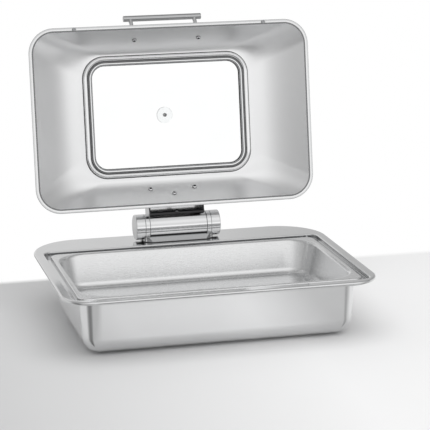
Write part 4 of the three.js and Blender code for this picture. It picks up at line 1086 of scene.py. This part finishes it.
def make_bracket():
    inner = BARREL_RADIUS + FIT_GAP
    outer = inner + BRACKET_WALL
    gap = LID_STEEL + 2 * FIT_GAP

    top_share = wall_share_at(HINGE_HEIGHT + outer, gap)
    body = around_hinge(arc(inner, BRACKET_LOW_DEGREES, 90, steps=SADDLE_STEPS))
    body.append((HINGE_Y, HINGE_HEIGHT + outer))
    body += wall_line(BRACKET_FOOT_SHARE, top_share, gap)[::-1]
    pocket_gap = gap + BRACKET_WALL
    pocket_top = wall_share_at(HINGE_HEIGHT + inner, pocket_gap)
    bend_degrees = math.degrees(math.asin(inner / outer))
    low_end = wall_point(BRACKET_FOOT_SHARE, pocket_gap, 1)
    bent = arc(outer, BRACKET_LOW_DEGREES, bend_degrees, steps=POCKET_STEPS)
    pocket = around_hinge(bent)
    mouth = pocket[0]
    below = min(low_end.z, mouth[1]) - BRACKET_WALL
    pocket += wall_line(BRACKET_FOOT_SHARE, pocket_top, pocket_gap)[::-1]
    pocket += [(low_end.y, below), (mouth[0], below)]
    half = BRACKET_LENGTH / 2
    channel = extruded("saddle_channel", body, -half, half, opened)
    hollow = extruded("hollow", pocket, -half + BRACKET_WALL, half - BRACKET_WALL, opened)
    carve(channel, [hollow])
    round_edges(channel, BRACKET_EDGE_ROUND)

    # The saddle's curve, the pocket's sides and the mouth's edge are painted black: painted shade
    # in the pocket and under the saddle
    near = opened(Vector((0, *body[0])))
    mouth_edge = opened(Vector((0, *body[-1]))) - near
    facing = Vector((0, mouth_edge.z, -mouth_edge.y)).normalized()

    def in_painted_shade(centre, normal):
        if abs(normal.x) > PAINTED_SHADE_SIDE_SHARE:
            return abs(centre.x) < half - PAINTED_SHADE_END_MARGIN
        if abs((centre - near).dot(facing)) < PAINTED_SHADE_MOUTH:
            return True
        place = closed(centre)
        radius = math.hypot(HINGE_Y - place.y, place.z - HINGE_HEIGHT)
        return radius < outer + PAINTED_SHADE_DEPTH

    mark_faces(channel, ROLLED, BLACK_PLASTIC_AND_SHADE, in_painted_shade)
    show(channel, "lid", ["hinge_lid_bracket"], ROLLED)
    reach = BARREL_LENGTH / 2 - BRACKET_SCREW_INSET
    places = (
        ("left", -reach, SIDE_SCREW_SHARE),
        ("right", reach, SIDE_SCREW_SHARE),
        ("centre", 0, CENTRE_SCREW_SHARE),
    )
    for name, x, share in places:
        origin = beside_wall(x, share, -HEAD_GAP, 1)
        place = aimed(origin, -wall_normal(share, 1), opened)
        screw = button_screw(f"wall_screw_{name}", BRACKET_SCREW_LENGTH, place)
        show(screw, "lid", [f"bracket_screw_{name}"], SCREW)
    angle = math.radians(BARREL_SCREW_DEGREES)
    direction = Vector((0, -math.cos(angle), math.sin(angle)))
    origin = Vector((0, HINGE_Y, HINGE_HEIGHT)) + direction * (outer + HEAD_GAP)
    place = aimed(origin, direction, opened)
    screw = button_screw("saddle_screw", BRACKET_SCREW_LENGTH, place)
    screw.data.materials[0] = HEM
    show(screw, "lid", ["barrel_screw"], SCREW)


def make_barrel():
    half = BARREL_LENGTH / 2
    bore = BARREL_RADIUS - BARREL_WALL
    side = chamfered_side(BARREL_RADIUS, BARREL_CHAMFER, -half, half)
    points = [(bore, -half), *side, (bore, half), (bore, -half)]
    barrel = turned_along_x("barrel", points, place=lambda point: opened(at_hinge(point)))
    show(barrel, "lid", ["hinge_barrel"], MIRROR)


# Dark thrust rings in the gaps beside the ears, and a black strip in the gap under the barrel:
# painted shade between the barrel and the base
def make_hinge_rings_and_shade():
    end = BARREL_LENGTH / 2
    gaps = (
        ("left", -EAR_START, -end),
        ("right", end, EAR_START),
        ("cap_left", -CAP_START, -EAR_END),
        ("cap_right", EAR_END, CAP_START),
    )
    for name, from_x, to_x in gaps:
        low = from_x + RUBBER_GAP
        high = to_x - RUBBER_GAP
        points = rectangle(RING_INNER_RADIUS, RING_OUTER_RADIUS, low, high)
        washer = turned_along_x(f"thrust_ring_{name}", [*points, points[0]])
        show(washer, "base", [], BLACK_PLASTIC_AND_SHADE)
    ends = (TROUGH_DEGREES, -180 - TROUGH_DEGREES)
    outline = arc(BARREL_RADIUS + BASE_CLEARANCE - RUBBER_GAP, *ends, steps=TROUGH_STEPS)
    outline += arc(BARREL_RADIUS + TROUGH_INNER_GAP, *ends[::-1], steps=TROUGH_STEPS)
    reach = EAR_START - TROUGH_END_GAP
    # The strip under the barrel is painted shade
    trough = extruded("barrel_shade_trough", around_hinge(outline), -reach, reach)
    show(trough, "base", [], BLACK_RUBBER_AND_SHADE)


make_water_pan()
make_food_pan()
make_base()
make_end_caps()
make_lid_shell()
make_window()
make_vent()
make_handle()
make_bumpers()
make_bracket()
make_barrel()
make_hinge_rings_and_shade()

# The nodes that keep their own shape: inside the barrel and under the rim
KEPT = (
    (SCREW, ("rim_backing_plate", *(f"base_screw_{number}" for number in range(1, 5)))),
    (SCREW, ("shaft_nut_left", "shaft_nut_right", "hinge_hub_left", "hinge_hub_right")),
    (SPRING, ("hinge_shaft", "hinge_spring")),
    (BLACK_PLASTIC_AND_SHADE, ("hinge_damper",)),
    (BRONZE, ("hinge_bush_left", "hinge_bush_right")),
)
for material, names in KEPT:
    for name in names:
        for material_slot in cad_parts[name].material_slots:
            material_slot.material = material


# Floor: half its side and, in metres, where it turns white behind the dish and its grey from left
# to right. What mirrors it sees at least GROUND_SHARE of the way to the brighter grey
FLOOR_REACH = 6000
FLOOR_ROUGHNESS = 0.55
FLOOR_SPECULAR = 0.2
WHITE_FROM = (0.385, 0.41)
GROUND_ACROSS = (-0.5, 0.15)
GROUND_GREYS = ((0.55, 0.552, 0.555), (0.87, 0.87, 0.872))
GROUND_SHARE = 0.6

# What mirrors the floor sees it darker in front of the tub, beside it, and in streaks from its
# front corners: (corner, direction, cosine of the half width, strength)
MIRRORED_DARK = (0.05, 0.05, 0.05)
FRONT_MIDDLE = 0.1
FRONT_SIDES = (0.2, 0.5)
FRONT_DEPTH = (-0.4, -0.65)
FRONT_STRENGTH = 0.92
BESIDE_DEPTH = (-0.12, -0.2)
LEFT_SIDE = (-0.15, -0.3)
LEFT_STRENGTH = 0.36
RIGHT_SIDE = (0.1, 0.24)
RIGHT_STRENGTH = 0.38
STREAKS = (
    ((-0.243, -0.146, 0), (-0.922, -0.388, 0), 0.89, 0.8),
    ((0.235, -0.149, 0), (0.863, -0.505, 0), 0.92, 0.6),
)

# What mirrors the white part sees a grey that rises with the distance, in metres
BACKDROP_REACH = (0.5, 0.8)
BACKDROP_GREYS = ((0.33, 0.33, 0.332), (0.7, 0.7, 0.702))


def vector_math(tree, operation, first, second=(0, 0, 0), output=0):
    inputs = {0: first, 1: second}
    return add_node(tree, "VectorMath", inputs, operation=operation).outputs[output]


def split(tree, output):
    place = add_node(tree, "TexCoord").outputs[output]
    return place, *add_node(tree, "SeparateXYZ", {"Vector": place}).outputs


def mirrored_shade(tree, place, x, y):
    from_middle = combine(tree, "ABSOLUTE", combine(tree, "SUBTRACT", x, FRONT_MIDDLE), 0)
    middle = remap(tree, from_middle, *FRONT_SIDES, 1, 0)
    ahead = remap(tree, y, *FRONT_DEPTH, 0, FRONT_STRENGTH)
    front = combine(tree, "MULTIPLY", ahead, middle)
    left = remap(tree, x, *LEFT_SIDE, 0, LEFT_STRENGTH)
    right = remap(tree, x, *RIGHT_SIDE, 0, RIGHT_STRENGTH)
    beside = combine(tree, "MAXIMUM", left, right)
    beside = combine(tree, "MULTIPLY", remap(tree, y, *BESIDE_DEPTH, 0, 1), beside)
    dark = combine(tree, "MAXIMUM", front, beside)
    for corner, toward, wide, most in STREAKS:
        ray = vector_math(tree, "NORMALIZE", vector_math(tree, "SUBTRACT", place, corner))
        along = vector_math(tree, "DOT_PRODUCT", ray, toward, "Value")
        dark = combine(tree, "MAXIMUM", dark, remap(tree, along, wide, 1, 0, most))
    return dark


def make_floor():
    corners = rectangle(-FLOOR_REACH, FLOOR_REACH, -FLOOR_REACH, FLOOR_REACH)
    floor = mesh_object("floor", [(x, y, 0) for x, y in corners], [(0, 1, 2, 3)])
    material, tree, principled = shader("floor_look", GROUND_GREYS[1], FLOOR_ROUGHNESS, 0)
    place, x, y, _ = split(tree, "Object")
    rays = add_node(tree, "LightPath").outputs
    mirrored = combine(tree, "MINIMUM", rays["Glossy Depth"], 1)
    across = remap(tree, x, *GROUND_ACROSS, 0, 1)
    least = combine(tree, "MULTIPLY", mirrored, GROUND_SHARE)
    ground = tint(tree, combine(tree, "MAXIMUM", across, least), *GROUND_GREYS)
    dark = combine(tree, "MULTIPLY", mirrored_shade(tree, place, x, y), mirrored)
    shaded = tint(tree, dark, ground, MIRRORED_DARK)
    feed(tree, principled, {"Base Color": shaded, "Specular IOR Level": FLOOR_SPECULAR})
    far = remap(tree, y, *BACKDROP_REACH, 0, 1)
    backdrop = tint(tree, mirrored, (1, 1, 1), tint(tree, far, *BACKDROP_GREYS))
    white = add_node(tree, "Emission", {"Color": backdrop}).outputs["Emission"]
    seen = combine(tree, "MAXIMUM", rays["Is Camera Ray"], rays["Is Glossy Ray"])
    seen = combine(tree, "MAXIMUM", seen, rays["Is Transmission Ray"])
    behind = remap(tree, y, *WHITE_FROM, 0, 1)
    share = combine(tree, "MULTIPLY", behind, seen)
    blend = add_node(tree, "MixShader", {0: share, 1: principled.outputs["BSDF"], 2: white})
    feed(tree, tree.nodes["Material Output"], {"Surface": blend.outputs["Shader"]})
    floor.data.materials.append(material)


# The studio's level by height, from straight down 0 to straight up 1, and by turn, from the back 0
# by the left, the front 0.5 and the right: white at eye level and two darker standing strips
HEIGHT_STOPS = (
    (0.0, 0.62), (0.48, 0.7), (0.5, 0.9), (0.52, 1.0), (0.57, 1.0), (0.62, 0.74),
    (0.7, 0.72), (0.77, 0.84), (0.86, 0.86), (0.9, 0.76), (0.94, 0.66), (1.0, 0.62),
)
TURN_STOPS = (
    (0.0, 0.8), (0.06, 0.76), (0.18, 0.7), (0.235, 0.53), (0.255, 0.3), (0.28, 0.46),
    (0.36, 0.63), (0.41, 0.88), (0.44, 1.0), (0.64, 1.0), (0.71, 0.5), (0.745, 0.25),
    (0.765, 0.48), (0.88, 0.46), (0.94, 0.46), (0.965, 0.72), (1.0, 0.8),
)
WORLD_STRENGTH = 1.25


def ramp(tree, value, stops):
    node = add_node(tree, "ValToRGB", {"Fac": value})
    elements = node.color_ramp.elements
    for position, _ in stops[1:-1]:
        elements.new(position)
    for element, (_, level) in zip(elements, stops):
        element.color = (level, level, level, 1)
    return node.outputs["Color"]


def make_world():
    world = bpy.data.worlds.new("studio")
    bpy.context.scene.world = world
    world.use_nodes = True
    tree = world.node_tree
    _, x, y, z = split(tree, "Generated")
    height = combine(tree, "ADD", combine(tree, "MULTIPLY", z, 0.5), 0.5)
    turn = combine(tree, "ARCTAN2", x, combine(tree, "MULTIPLY", y, -1))
    turn = combine(tree, "ADD", combine(tree, "DIVIDE", turn, 2 * math.pi), 0.5)
    by_height = ramp(tree, height, HEIGHT_STOPS)
    level = tint(tree, 1, by_height, ramp(tree, turn, TURN_STOPS), "MULTIPLY")
    rays = add_node(tree, "LightPath").outputs
    direct = combine(tree, "LESS_THAN", rays["Glossy Depth"], 0.5)
    seen = combine(tree, "MAXIMUM", rays["Is Camera Ray"], rays["Is Transmission Ray"])
    shown = tint(tree, combine(tree, "MULTIPLY", seen, direct), level, (1, 1, 1))
    feed(tree, tree.nodes["Background"], {"Color": shown, "Strength": WORLD_STRENGTH})


# One soft lamp over the dish: place, sides and aim in metres, power in watts
LAMP_PLACE = (0, -0.6, 2.6)
LAMP_SIDES = (3.2, 2.4)
LAMP_AIM = (0, 0.05, 0.15)
LAMP_POWER = 42


def make_lamp():
    data = bpy.data.lights.new("ceiling", "AREA")
    data.shape = "RECTANGLE"
    data.size, data.size_y = LAMP_SIDES
    data.energy = LAMP_POWER
    lamp = new_object("ceiling", data)
    lamp.location = LAMP_PLACE
    aim = Vector(LAMP_AIM) - Vector(LAMP_PLACE)
    lamp.rotation_euler = aim.to_track_quat("-Z", "Y").to_euler()
    lamp.visible_glossy = False


def make_camera():
    data = bpy.data.cameras.new("camera")
    data.lens = CAMERA_LENS
    data.sensor_width = SENSOR_WIDTH
    data.clip_start, data.clip_end = CAMERA_CLIP
    camera = new_object("camera", data)
    turn = Matrix.Rotation(-math.radians(CAMERA_TURN), 4, "Z")
    tilt = Matrix.Rotation(math.radians(90 - CAMERA_DOWN), 4, "X")
    roll = Matrix.Rotation(math.radians(CAMERA_ROLL), 4, "Z")
    camera.matrix_world = Matrix.Translation(CAMERA_PLACE) @ turn @ tilt @ roll
    bpy.context.scene.camera = camera


make_floor()
make_world()
make_lamp()
make_camera()
bpy.context.scene.view_settings.view_transform = "Standard"
